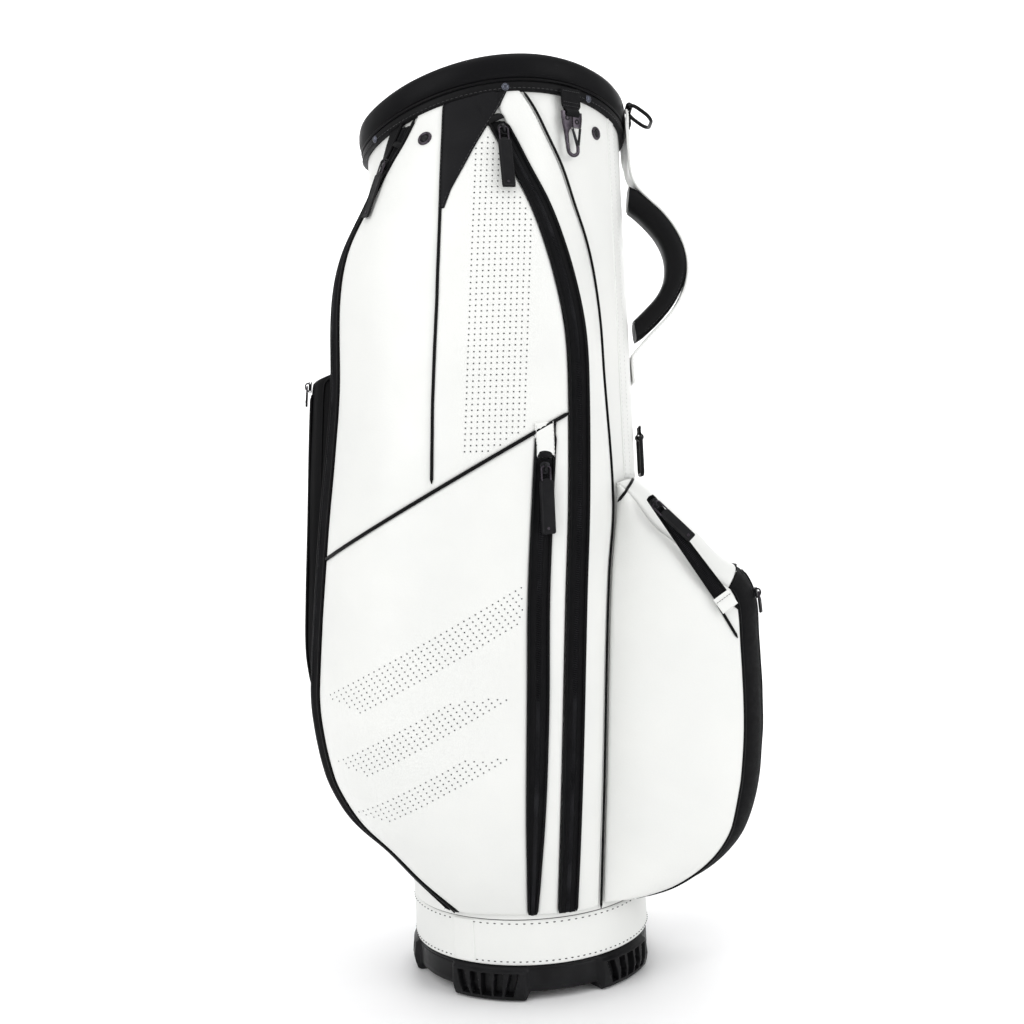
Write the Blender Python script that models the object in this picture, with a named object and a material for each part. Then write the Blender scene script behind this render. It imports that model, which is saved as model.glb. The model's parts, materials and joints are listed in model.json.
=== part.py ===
"""Golf staff bag, cart style, 24 cm mouth, standing on a moulded five-footed base.

Built in metres about the trunk axis, +Z up, +X toward the handle and ball pocket,
-Y toward the near apparel pocket.  Every sewn panel is its own thin closed body.
"""
import math
import bmesh
import bpy
from mathutils import Matrix, Vector

# ---- driving dimensions (metres) -------------------------------------------------
TUBE_X = -0.0137          # trunk axis, shifted so the whole bag is centred on the origin
TRUNK_R = 0.1305          # outer radius of the trunk skin over most of its height
TRUNK_R_FOOT = 0.1195     # outer radius where the trunk enters the base
TRUNK_LOW = 0.0775        # lower edge of the trunk skin
FLARE = ((TRUNK_LOW, TRUNK_R_FOOT), (0.120, 0.1214), (0.160, 0.1238), (0.200, 0.1263),
         (0.250, 0.1289), (0.330, TRUNK_R))
SKIN = 0.0020             # leather-cloth over foam backing, trunk
LINER = 0.0020            # stiff inner tube wall
PANEL = 0.0022            # pocket panel thickness
SEW = 0.0006              # half of the parting gap between neighbouring panels
LIFT = 0.0035             # height of a pocket edge above the trunk skin
RIM_Z = 0.8780            # mean height of the collar top
RIM_WAVE = 0.0100         # the rim is a shallow saddle, high toward both apparel sides
RIM_LEAN = 0.0050         # and slightly higher toward the handle
RIM_TURN = math.radians(12.0)
COLLAR_H = 0.0255         # padded roll
LIP_H = 0.0095            # welted band under the roll
COLLAR_OUT = 0.1385
COLLAR_IN = 0.1228
BASE_R = 0.1180
BASE_TOP = 0.0335
BAND_TOP = 0.0765
FOOT_FLARE = 0.0065       # how far a foot stands out beyond the ring
FOOT_LIFT = 0.0090        # the base ring clears the floor by this much between feet
FOOT_FIRST = math.radians(-22.0)
FOOT_HALF = math.radians(18.5)
FRAME_Z = 0.8360
FRAME_H = 0.0140
BAR_X = 0.0420            # cross bars of the six-way divider
ZIP_HALF = 0.0085         # half width of a zip tape band

# ---- stations of the near apparel pocket: height, value --------------------------
EDGE_X = ((0.080, -0.066), (0.112, -0.103), (0.140, -0.131), (0.164, -0.157), (0.189, -0.175),
          (0.214, -0.186), (0.263, -0.195), (0.300, -0.196), (0.434, -0.182), (0.579, -0.163),
          (0.677, -0.157), (0.725, -0.145), (0.772, -0.1150), (0.820, -0.0840), (0.840, -0.0710))
EDGE_Y = ((0.080, -0.106), (0.112, -0.100), (0.164, -0.087), (0.214, -0.080), (0.677, -0.080),
          (0.725, -0.083), (0.772, -0.0985), (0.820, -0.1075), (0.840, -0.1152))
FRONT_X = ((0.080, 0.034), (0.197, 0.043), (0.379, 0.056), (0.469, 0.063), (0.583, 0.068),
           (0.629, 0.067), (0.675, 0.060), (0.716, 0.050), (0.749, 0.039), (0.782, 0.024),
           (0.809, 0.012), (0.840, -0.003))
FRONT_Y = ((0.080, -0.1205), (0.130, -0.134), (0.200, -0.146), (0.290, -0.153), (0.600, -0.153),
           (0.716, -0.147), (0.782, -0.139), (0.840, -0.1352))
BELLY_Y = ((0.080, -0.1245), (0.130, -0.146), (0.200, -0.168), (0.290, -0.178), (0.480, -0.182),
           (0.620, -0.175), (0.716, -0.160), (0.782, -0.146), (0.840, -0.1360))
WELT_X = ((0.076, 0.065), (0.183, 0.073), (0.326, 0.083), (0.397, 0.089), (0.468, 0.097),
          (0.593, 0.094), (0.640, 0.093), (0.684, 0.089), (0.717, 0.083), (0.751, 0.073),
          (0.785, 0.063), (0.813, 0.051), (0.839, 0.039), (0.862, 0.024))
MID_ZIP_X = ((0.080, 0.001), (0.201, 0.010), (0.291, 0.016), (0.381, 0.021), (0.471, 0.029),
             (0.540, 0.036))
SASH_Z, SASH_SLOPE = 0.5195, 0.522     # the diagonal seam: z = SASH_Z + SASH_SLOPE * x
NEAR_LOW, NEAR_HIGH = 0.0825, 0.8320
ZIP_A_HIGH = 0.8230
ZIP_B_HIGH = 0.5180

# ---- ball pocket side profile, trunk top round the front to the trunk foot -------
BALL_PROFILE = ((0.1355, 0.4905), (0.158, 0.463), (0.181, 0.436), (0.205, 0.409), (0.228, 0.391),
                (0.2385, 0.368), (0.2405, 0.320), (0.2405, 0.260), (0.2375, 0.215),
                (0.2300, 0.170), (0.2150, 0.134), (0.1920, 0.107), (0.1600, 0.088),
                (0.1270, 0.0800))
BALL_COVER_Y, BALL_EDGE_Y = 0.047, 0.086
BALL_DROP = 0.032
BALL_CORNER = 0.262       # fraction of the profile where the top meets the front

# ---- back pocket -----------------------------------------------------------------
BACK_X = ((0.275, -0.2060), (0.300, -0.2120), (0.332, -0.2150), (0.383, -0.2125),
          (0.459, -0.2070), (0.560, -0.2000), (0.600, -0.1960), (0.621, -0.1900))
BACK_LOW, BACK_HIGH, BACK_HALF = 0.2760, 0.6220, 0.0400

# ---- handle ----------------------------------------------------------------------
GRIP_PATH = ((0.1372, 0.7795), (0.1523, 0.7665), (0.1660, 0.7515), (0.1760, 0.7350),
             (0.1815, 0.7190), (0.1822, 0.7040), (0.1790, 0.6885), (0.1700, 0.6725),
             (0.1565, 0.6580), (0.1450, 0.6480), (0.1372, 0.6415))
GRIP_DEEP, GRIP_WIDE = 0.0200, 0.0330
STRAP_WIDE, STRAP_THICK = 0.0280, 0.0024

for ob in list(bpy.data.objects):
    bpy.data.objects.remove(ob, do_unlink=True)


# ---- materials -------------------------------------------------------------------
def material(name, colour, rough, metal=0.0):
    mat = bpy.data.materials.new(name)
    mat.use_nodes = True
    bsdf = mat.node_tree.nodes["Principled BSDF"]
    bsdf.inputs["Base Color"].default_value = (*colour, 1.0)
    bsdf.inputs["Roughness"].default_value = rough
    bsdf.inputs["Metallic"].default_value = metal
    return mat


WHITE = material("white_leathercloth", (0.80, 0.80, 0.79), 0.45)
BLACK = material("black_leathercloth", (0.020, 0.020, 0.022), 0.50)
CLOTH = material("black_nylon_cloth", (0.025, 0.025, 0.028), 0.80)
TAPE = material("zip_tape", (0.016, 0.016, 0.018), 0.75)
GUN = material("gunmetal", (0.20, 0.21, 0.23), 0.30, 1.0)
STEEL = material("bright_nickel", (0.62, 0.62, 0.63), 0.25, 1.0)
MOULD = material("moulded_black", (0.018, 0.018, 0.020), 0.42)
GREY = material("inner_liner_grey", (0.20, 0.20, 0.21), 0.65)


# ---- small mathematics -----------------------------------------------------------
def along(table, z):
    """Smooth value of a station table at height z (cubic Hermite, held at the ends)."""
    if z <= table[0][0]:
        return table[0][1]
    if z >= table[-1][0]:
        return table[-1][1]
    k = max(i for i in range(len(table) - 1) if table[i][0] <= z)
    (z0, a), (z1, b) = table[k], table[k + 1]
    h = z1 - z0
    ma = (b - table[k - 1][1]) / (z1 - table[k - 1][0]) if k else (b - a) / h
    mb = (table[k + 2][1] - a) / (table[k + 2][0] - z0) if k + 2 < len(table) else (b - a) / h
    t = (z - z0) / h
    return ((2 * t ** 3 - 3 * t ** 2 + 1) * a + (t ** 3 - 2 * t ** 2 + t) * h * ma
            + (3 * t ** 2 - 2 * t ** 3) * b + (t ** 3 - t ** 2) * h * mb)


def ease(t):
    t = min(1.0, max(0.0, t))
    return t * t * (3 - 2 * t)


def trunk_r(z):
    """Outer radius of the trunk skin: a straight-sided flare out of the base, then even."""
    for (z0, r0), (z1, r1) in zip(FLARE, FLARE[1:]):
        if z < z1:
            return r0 + (r1 - r0) * max(0.0, z - z0) / (z1 - z0)
    return FLARE[-1][1]


def rim(az):
    """Height of the collar top at azimuth az, counted from -Y toward +X."""
    return RIM_Z + RIM_WAVE * math.cos(2 * (az - RIM_TURN)) + RIM_LEAN * math.sin(az)


def polar(az, r, z):
    return Vector((r * math.sin(az), -r * math.cos(az), z))


def bezier(points, t):
    pts = [Vector(p) for p in points]
    while len(pts) > 1:
        pts = [pts[i].lerp(pts[i + 1], t) for i in range(len(pts) - 1)]
    return pts[0]


def spread(a, b, n):
    return [a + (b - a) * i / n for i in range(n + 1)]


# ---- mesh helpers ----------------------------------------------------------------
def body(name, verts, faces, mat, origin=(0.0, 0.0, 0.0), solid=True):
    """A named object; the trunk offset is added here and the origin sits on `origin`."""
    o = Vector(origin)
    mesh = bpy.data.meshes.new(name)
    mesh.from_pydata([tuple(Vector(v) - o) for v in verts], [], faces)
    if solid:
        work = bmesh.new()
        work.from_mesh(mesh)
        bmesh.ops.recalc_face_normals(work, faces=work.faces)
        work.to_mesh(mesh)
        work.free()
    mesh.materials.append(mat)
    ob = bpy.data.objects.new(name, mesh)
    ob.location = o + Vector((TUBE_X, 0.0, 0.0))
    bpy.context.scene.collection.objects.link(ob)
    return ob


def sheet(name, fn, us, vs, thick, mat, flip=False, keep=None):
    """A sewn panel: grid fn(u, v), thickened to the inside."""
    nu, nv = len(us), len(vs)
    cells = [(i, j) for i in range(nu - 1) for j in range(nv - 1)
             if keep is None or keep(0.5 * (us[i] + us[i + 1]), 0.5 * (vs[j] + vs[j + 1]))]
    index, verts, faces = {}, [], []
    for i, j in cells:
        quad = []
        for a, b in ((i, j), (i + 1, j), (i + 1, j + 1), (i, j + 1)):
            if (a, b) not in index:
                index[(a, b)] = len(verts)
                verts.append(fn(us[a], vs[b]))
            quad.append(index[(a, b)])
        faces.append(tuple(reversed(quad)) if flip else tuple(quad))
    ob = body(name, verts, faces, mat, solid=False)
    mod = ob.modifiers.new("thickness", "SOLIDIFY")
    mod.thickness, mod.offset, mod.use_rim = thick, -1.0, True
    return ob


def rings(name, loops, mat, caps=True, loop_closed=False, origin=(0.0, 0.0, 0.0)):
    """Skin a row of equal closed loops; ends capped, or the row joined on itself."""
    n = len(loops[0])
    verts = [p for loop in loops for p in loop]
    faces = []
    last = len(loops) if loop_closed else len(loops) - 1
    for k in range(last):
        a, b = k * n, ((k + 1) % len(loops)) * n
        for i in range(n):
            j = (i + 1) % n
            faces.append((a + i, a + j, b + j, b + i))
    if caps and not loop_closed:
        faces.append(tuple(reversed(range(n))))
        faces.append(tuple(range((len(loops) - 1) * n, len(loops) * n)))
    return body(name, verts, faces, mat, origin)


def turned(name, profile, mat, seg):
    """Closed profile carried round the trunk axis; profile(az) -> [(r, z), ...]."""
    loops = []
    for k in range(seg):
        az = 2 * math.pi * k / seg
        loops.append([polar(az, r, z) for r, z in profile(az)])
    return rings(name, loops, mat, loop_closed=True)


def prism(name, outline, depth, frame, mat, origin=(0.0, 0.0, 0.0)):
    """Outline (a, b) pushed along the third axis of `frame` by +-depth/2."""
    half = depth / 2
    n = len(outline)
    verts = [frame @ Vector((a, b, s)) for s in (-half, half) for a, b in outline]
    faces = [tuple(reversed(range(n))), tuple(range(n, 2 * n))]
    faces += [(i, (i + 1) % n, n + (i + 1) % n, n + i) for i in range(n)]
    return body(name, verts, faces, mat, origin)


def rounded(w, h, r, per=3):
    """Rounded rectangle centred on zero, counter-clockwise."""
    out = []
    for cx, cy, a0 in ((w / 2 - r, h / 2 - r, 0), (-w / 2 + r, h / 2 - r, 90),
                       (-w / 2 + r, -h / 2 + r, 180), (w / 2 - r, -h / 2 + r, 270)):
        for k in range(per + 1):
            a = math.radians(a0 + 90 * k / per)
            out.append((cx + r * math.cos(a), cy + r * math.sin(a)))
    return out


def axes(origin, x_dir, y_dir):
    """Right-handed frame at origin from two directions; third axis is x cross y."""
    x = Vector(x_dir).normalized()
    z = x.cross(Vector(y_dir)).normalized()
    y = z.cross(x)
    m = Matrix((x, y, z)).transposed().to_4x4()
    m.translation = Vector(origin)
    return m


# ---- base ------------------------------------------------------------------------
def foot_amount(az):
    step = 2 * math.pi / 5
    d = (az - FOOT_FIRST + step / 2) % step - step / 2
    return ease((FOOT_HALF - abs(d)) / math.radians(3.0) + 0.5)


def base_profile(az):
    """Moulded cup: floor, foot pads, flared feet, skirt, step for the band and inner wall."""
    foot = foot_amount(az)
    low = FOOT_LIFT * (1.0 - foot)
    return ((0.0850, low), (0.1120 + 0.0050 * foot, low),
            (0.1150 + 0.0065 * foot, low + 0.0020), (BASE_R + FOOT_FLARE * foot, 0.0140),
            (BASE_R + FOOT_FLARE * foot * 0.8, 0.0280), (BASE_R, BASE_TOP - 0.0012),
            (BASE_R - 0.0012, BASE_TOP), (0.1112, BASE_TOP), (0.1112, 0.1000), (0.1082, 0.1000),
            (0.1075, 0.0190), (0.0800, 0.0170), (0.0300, 0.0170), (0.0300, 0.0120),
            (0.0780, 0.0120))


def base_cup():
    seg = 60
    loops = [[polar(2 * math.pi * k / seg, r, z) for r, z in base_profile(2 * math.pi * k / seg)]
             for k in range(seg)]
    n = len(loops[0])
    verts = [p for loop in loops for p in loop]
    faces = []
    hub = n - 3                       # the wall at r = 0.03 is left open and closed by discs
    for k in range(seg):
        a, b = k * n, ((k + 1) % seg) * n
        for i in range(n):
            if i != hub:
                j = (i + 1) % n
                faces.append((a + i, a + j, b + j, b + i))
    faces.append(tuple(k * n + hub for k in range(seg)))
    faces.append(tuple(k * n + hub + 1 for k in reversed(range(seg))))
    body("base_cup", verts, faces, MOULD)


base_cup()
turned("base_band", lambda az: ((0.1156, BASE_TOP + 0.0006), (0.1190, BASE_TOP + 0.0006),
                                (0.1192, BAND_TOP), (0.1156, BAND_TOP)), WHITE, 40)


# ---- trunk -----------------------------------------------------------------------
def tube_profile(outer, wall, low, drop):
    def at(az):
        high = rim(az) - drop
        zs = sorted({low, *(z for z, _ in FLARE)}) + [high]
        return ([(trunk_r(z) - outer, z) for z in zs]
                + [(trunk_r(z) - outer - wall, z) for z in reversed(zs)])
    return at


turned("trunk_skin", tube_profile(0.0, SKIN, TRUNK_LOW, COLLAR_H + 0.0006), WHITE, 40)
turned("trunk_liner", tube_profile(0.0043, LINER, BASE_TOP + 0.0006, COLLAR_H + 0.0006), GREY, 40)
for tag, deg in (("a", 76.0), ("b", 284.0)):
    mid = math.radians(deg)
    sheet("stay_" + tag, lambda u, z, m=mid: polar(m + u, trunk_r(z) - 0.0027, z),
          spread(-0.10, 0.10, 3), [0.090, *(z for z, _ in FLARE[1:]), 0.820], 0.0012, GREY)


# ---- mouth -----------------------------------------------------------------------
def collar_profile(az):
    top = rim(az)
    mid_r, half_r, half_h = (COLLAR_OUT + COLLAR_IN) / 2, (COLLAR_OUT - COLLAR_IN) / 2, COLLAR_H / 2
    out = []
    for k in range(12):
        a = 2 * math.pi * (k + 0.5) / 12
        c, s = math.cos(a), math.sin(a)
        out.append((mid_r + half_r * math.copysign(abs(c) ** 0.7, c),
                    top - half_h + half_h * math.copysign(abs(s) ** 0.7, s) * 0.97))
    return out


def lip_profile(az):
    high = rim(az) - COLLAR_H - 0.0008
    return ((TRUNK_R + 0.0005, high - LIP_H), (TRUNK_R + 0.0040, high - LIP_H + 0.0008),
            (TRUNK_R + 0.0055, high - 0.0012), (TRUNK_R + 0.0050, high),
            (TRUNK_R + 0.0005, high))


turned("collar_pad", collar_profile, BLACK, 48)
turned("collar_lip", lip_profile, BLACK, 48)


def divider_frame():
    """Flat moulded ring with one long bar and two cross bars: six club wells."""
    seg, radius, rail, bar = 64, 0.1212, 0.0075, 0.0090
    frame = Matrix.Translation((0.0, 0.0, FRAME_Z + FRAME_H / 2))
    disc = [(radius * math.cos(2 * math.pi * k / seg), radius * math.sin(2 * math.pi * k / seg))
            for k in range(seg)]
    ob = prism("divider_frame", disc, FRAME_H, frame, BLACK)
    inner = radius - rail
    verts, faces = [], []
    for sy in (-1, 1):
        for x0, x1 in ((-inner, -BAR_X - bar / 2), (-BAR_X + bar / 2, BAR_X - bar / 2),
                       (BAR_X + bar / 2, inner)):
            y0 = bar / 2
            top = [(x, math.sqrt(max(inner ** 2 - x * x, 0.0))) for x in spread(x1, x0, 8)]
            top = [(x, y) for x, y in top if y > y0 + 0.0004]
            a = max(x0, -math.sqrt(inner ** 2 - y0 ** 2))
            b = min(x1, math.sqrt(inner ** 2 - y0 ** 2))
            loop = [(a, y0), (b, y0)] + top
            if sy < 0:
                loop = [(x, -y) for x, y in reversed(loop)]
            n, s = len(loop), len(verts)
            for z in (FRAME_Z - 0.01, FRAME_Z + FRAME_H + 0.01):
                verts += [(x, y, z) for x, y in loop]
            faces += [tuple(s + i for i in reversed(range(n))), tuple(s + n + i for i in range(n))]
            faces += [(s + i, s + (i + 1) % n, s + n + (i + 1) % n, s + n + i) for i in range(n)]
    tool = body("divider_wells_cutter", verts, faces, GREY)
    tool.hide_render = True
    tool.display_type = "WIRE"
    mod = ob.modifiers.new("wells", "BOOLEAN")
    mod.operation, mod.solver, mod.object = "DIFFERENCE", "EXACT", tool


def divider_walls():
    """Fabric walls under the frame, sewn into one set: long wall and two cross walls."""
    t, low, high = 0.0010, 0.1030, FRAME_Z - 0.0010
    xs = (-0.1090, -BAR_X - t, -BAR_X + t, BAR_X - t, BAR_X + t, 0.1090)
    ys = (-0.1010, -t, t, 0.1010)
    keep = [(i, j) for i in range(5) for j in range(3) if j == 1 or i in (1, 3)]
    index, verts, faces = {}, [], []

    def corner(i, j, k):
        if (i, j, k) not in index:
            index[(i, j, k)] = len(verts)
            verts.append((xs[i], ys[j], (low, high)[k]))
        return index[(i, j, k)]
    for i, j in keep:
        quad = ((i, j), (i + 1, j), (i + 1, j + 1), (i, j + 1))
        faces.append(tuple(corner(a, b, 1) for a, b in quad))
        faces.append(tuple(corner(a, b, 0) for a, b in reversed(quad)))
        for (a, b), (c, d), nb in zip(quad, quad[1:] + quad[:1],
                                      ((i, j - 1), (i + 1, j), (i, j + 1), (i - 1, j))):
            if nb not in keep:
                faces.append((corner(a, b, 0), corner(c, d, 0), corner(c, d, 1), corner(a, b, 1)))
    body("divider_walls", verts, faces, CLOTH)


divider_frame()
divider_walls()


def dome(name, az, r, z, radius, high, mat):
    """Low domed rivet or press stud standing on a cylinder of radius r."""
    out = polar(az, 1.0, 0.0)
    side = Vector((0, 0, 1)).cross(out)
    m = axes(polar(az, r, z), side, (0, 0, 1))
    n = 12
    loops = []
    for k, (rr, h) in enumerate(((radius, 0.0), (radius, high * 0.35), (radius * 0.8, high * 0.8),
                                 (radius * 0.4, high))):
        loops.append([m @ Vector((rr * math.cos(2 * math.pi * i / n),
                                  rr * math.sin(2 * math.pi * i / n), h)) for i in range(n)])
    return rings(name, loops, mat)


LIP_R = TRUNK_R + 0.0060
for tag, deg in (("left", -58.0), ("mid", 6.0), ("right", 43.5)):
    az = math.radians(deg)
    dome("lip_rivet_" + tag, az, LIP_R, rim(az) - COLLAR_H - 0.0008 - LIP_H * 0.62, 0.0034, 0.0018,
         STEEL)


# ---- near apparel pocket ---------------------------------------------------------
def near_edge(z):
    return Vector((along(EDGE_X, z), along(EDGE_Y, z), z))


def near_zip(z, side):
    """Edges of the forward zip band: side -1 is the panel edge, +1 the welt edge."""
    x, y = along(FRONT_X, z), along(FRONT_Y, z)
    return Vector((x + side * ZIP_HALF, y + (0.0030 if side > 0 else -0.0010), z))


def near_panel(t, z):
    a, b = near_edge(z), near_zip(z, -1)
    belly = along(BELLY_Y, z)
    w = b.x - a.x
    return bezier((a, (a.x + 0.16 * w, belly * 0.94, z), (a.x + 0.62 * w, belly, z), b), t)


def welt(z, shift=0.0):
    """Point on the trunk beside the welt line, shifted round the trunk in degrees."""
    r = trunk_r(z)
    az = math.asin(along(WELT_X, z) / r) + math.radians(shift)
    return polar(az, r + LIFT, z)


def near_strip(t, z):
    a, b = near_zip(z, 1), welt(z, -1.4)
    mid = a.lerp(b, 0.5) + (b - a).cross(Vector((0, 0, -1))) * -0.16
    return bezier((a, mid, b), t)


def near_gusset(t, z):
    a = near_edge(z)
    deep = ease((math.hypot(a.x, a.y) - trunk_r(z) - LIFT) / 0.060)
    r, az = math.hypot(a.x, a.y), math.atan2(a.x, -a.y)
    turn = math.radians(2.0 + (12.0 if z > 0.5 else 7.0) * (1 - deep))
    foot = polar(az - turn, trunk_r(z) + LIFT, z)
    flat = polar(az - 0.42 * turn, r, z), polar(az - 0.95 * turn, 0.6 * r + 0.4 * (trunk_r(z) + LIFT), z)
    full = a + Vector((-0.018, 0.012, 0)), a + Vector((-0.020, 0.040, 0))
    return bezier((a, flat[0].lerp(full[0], deep), flat[1].lerp(full[1], deep), foot), t)


def at_x(x, z):
    """Panel parameter whose point has this x."""
    lo, hi = 0.0, 1.0
    for _ in range(30):
        mid = (lo + hi) / 2
        lo, hi = (mid, hi) if near_panel(mid, z).x < x else (lo, mid)
    return (lo + hi) / 2


def sash(t):
    """Height of the diagonal seam on panel line t."""
    z = SASH_Z
    for _ in range(25):
        z = 0.5 * z + 0.5 * (SASH_Z + SASH_SLOPE * near_panel(t, z).x)
    return z


def near_upper(t, v):
    low = sash(t) + 0.0009
    return near_panel(t, low + (NEAR_HIGH - low) * v)


def near_mid_zip(u, z):
    tb = at_x(along(MID_ZIP_X, z), z)
    return near_panel(tb + u * ZIP_HALF / 0.27, z)


ROWS_UP = spread(0.0, 1.0, 10)
sheet("near_upper_panel", near_upper, spread(0.010, 0.992, 9), ROWS_UP, PANEL, WHITE)


def lower_t(t, v, side):
    """Lower panel in its own parameter: seam height follows the local panel line."""
    z_guess = NEAR_LOW + (SASH_Z - 0.05 - NEAR_LOW) * v
    tb = at_x(along(MID_ZIP_X, z_guess), z_guess)
    half = ZIP_HALF / 0.27
    tt = 0.010 + (tb - half - 0.013) * t if side < 0 else tb + half + 0.003 + (
        0.989 - tb - half) * t
    high = sash(min(tt, 0.998)) - 0.0009
    z = NEAR_LOW + (high - NEAR_LOW) * v
    tb = at_x(along(MID_ZIP_X, z), z)
    tt = 0.010 + (tb - half - 0.013) * t if side < 0 else tb + half + 0.003 + (
        0.989 - tb - half) * t
    return near_panel(min(tt, 0.992), z)


sheet("near_lower_panel", lambda t, v: lower_t(t, v, -1), spread(0.0, 1.0, 8), ROWS_UP, PANEL, WHITE)
sheet("near_lower_strip", lambda t, v: lower_t(t, v, 1), spread(0.0, 1.0, 2), ROWS_UP, PANEL, WHITE)
sheet("near_zip_mid", near_mid_zip, spread(-0.94, 0.94, 2), spread(NEAR_LOW, 0.5060, 9), 0.0016, TAPE)


def near_front_zip(u, z):
    a, b = near_zip(z, -1), near_zip(z, 1)
    return a.lerp(b, u)


sheet("near_zip_front", near_front_zip, (0.07, 0.5, 0.93), spread(NEAR_LOW, ZIP_A_HIGH, 15), 0.0016,
      TAPE)
HEIGHTS = spread(NEAR_LOW, NEAR_HIGH, 14)
sheet("near_welt_strip", near_strip, (0.015, 0.34, 0.67, 1.0), HEIGHTS, PANEL, WHITE)
sheet("near_zip_back", near_gusset, (0.028, 0.12, 0.23, 0.34), HEIGHTS, 0.0016, TAPE, flip=True)
sheet("near_gusset", near_gusset, (0.390, 0.44, 0.55, 0.75, 1.0), HEIGHTS, PANEL, BLACK, flip=True)


def accent_patch(u, v):
    """Plain triangular flash at the top of the panel, standing just proud of it."""
    x0 = -0.047 - 0.002 * v
    wide = 0.0025 + (0.0470 - 0.0025) * (1 - v)
    x, z = x0 + wide * u, 0.8290 - 0.0845 * v
    t = at_x(x, z)
    p = near_panel(t, z)
    return p + Vector((0.0, -0.0016, 0.0))


sheet("accent_patch", accent_patch, spread(0.0, 1.0, 3), spread(0.0, 1.0, 5), 0.0010, BLACK, flip=True)


def zip_tab(u, z):
    p = near_panel(at_x(0.0335 + 0.0085 * u, z), z)
    return p + Vector((0.0, -0.0022, 0.0))


sheet("near_zip_tab", zip_tab, (-1.0, 1.0), (0.5110, 0.5240, 0.5370), 0.0014, WHITE)


# ---- far apparel pocket: the near one mirrored, one full-height panel ------------
def mirrored(fn):
    def at(*args):
        p = fn(*args)
        return Vector((p.x, -p.y, p.z))
    return at


sheet("far_panel", mirrored(near_panel), spread(0.010, 0.992, 8), HEIGHTS, PANEL, WHITE, flip=True)
sheet("far_zip_front", mirrored(near_front_zip), (0.07, 0.93), spread(NEAR_LOW, ZIP_A_HIGH, 13),
      0.0016, TAPE, flip=True)
sheet("far_welt_strip", mirrored(near_strip), (0.015, 0.5, 1.0), HEIGHTS, PANEL, WHITE, flip=True)
sheet("far_zip_back", mirrored(near_gusset), (0.028, 0.12, 0.23, 0.34), HEIGHTS, 0.0016, TAPE)
sheet("far_gusset", mirrored(near_gusset), (0.390, 0.44, 0.60, 1.0), HEIGHTS, PANEL, BLACK)


# ---- ball pocket -----------------------------------------------------------------
def ball_line(s):
    """Point and outward normal of the side profile at fraction s of its length."""
    pts = [Vector((x, 0.0, z)) for x, z in BALL_PROFILE]
    lens = [0.0]
    for a, b in zip(pts, pts[1:]):
        lens.append(lens[-1] + (b - a).length)
    xs = tuple((d / lens[-1], p.x) for d, p in zip(lens, pts))
    zs = tuple((d / lens[-1], p.z) for d, p in zip(lens, pts))
    e = 0.004
    s0, s1 = max(0.0, s - e), min(1.0, s + e)
    d = Vector((along(xs, s1) - along(xs, s0), 0.0, along(zs, s1) - along(zs, s0))).normalized()
    return Vector((along(xs, s), 0.0, along(zs, s))), Vector((-d.z, 0.0, d.x))


def ball_skin(s, y):
    p, n = ball_line(s)
    q = min(1.0, max(0.0, (abs(y) - BALL_COVER_Y) / (BALL_EDGE_Y - BALL_COVER_Y)))
    fade = min(1.0, 0.35 + 0.65 * ease(s / 0.10), 0.10 + 0.90 * ease((1 - s) / 0.30))
    drop = BALL_DROP * fade * (1.0 - math.sqrt(1.0 - (0.97 * q) ** 2))
    near = max(0.0, 1 - s / 0.16, (s - 0.78) / 0.22) ** 1.5
    r = trunk_r(p.z)
    wrap = 0.76 * (r - math.sqrt(r * r - y * y)) * near
    out = p - n * drop
    return Vector((out.x - wrap, y, out.z))


def ball_side(u, s, sign):
    edge = ball_skin(s, BALL_EDGE_Y) + Vector((0, PANEL + 0.0010, 0))
    foot = welt(edge.z, 1.4)
    a, b = Vector((foot.x, -foot.y, edge.z)), edge
    p = a.lerp(b, u) + Vector((0, 0.005 * math.sin(math.pi * u), 0))
    return Vector((p.x, sign * p.y, p.z))


COVER = spread(-BALL_COVER_Y + SEW, BALL_COVER_Y - SEW, 4)
FALL = [BALL_CORNER + (1 - BALL_CORNER) * k / 10 for k in range(11)]
EDGE = [BALL_COVER_Y + 0.0002, 0.058, 0.070, 0.080, BALL_EDGE_Y]
sheet("ball_top", ball_skin, spread(0.0, BALL_CORNER - 0.011, 5),
      [-y for y in reversed(EDGE)] + [0.0] + EDGE, PANEL, WHITE)
ys_band = [-y for y in reversed(EDGE)] + [-0.02, 0.02] + EDGE
sheet("ball_zip_band", ball_skin, [BALL_CORNER - 0.009, BALL_CORNER + 0.009] + FALL[1:], ys_band,
      0.0018, TAPE, keep=lambda s, y: s < BALL_CORNER + 0.009 or abs(y) > BALL_COVER_Y)
sheet("ball_cover", ball_skin, [BALL_CORNER + 0.011] + FALL[1:], COVER, PANEL, WHITE)
ROWS_SIDE = [0.004, 0.06, 0.13, 0.20, BALL_CORNER] + FALL[2:10] + [0.985]
sheet("ball_side_near", lambda u, s: ball_side(u, s, -1), spread(0.0, 1.0, 4), ROWS_SIDE, PANEL,
      WHITE, flip=True)
sheet("ball_side_far", lambda u, s: ball_side(u, s, 1), spread(0.0, 1.0, 4), ROWS_SIDE, PANEL, WHITE)


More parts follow.
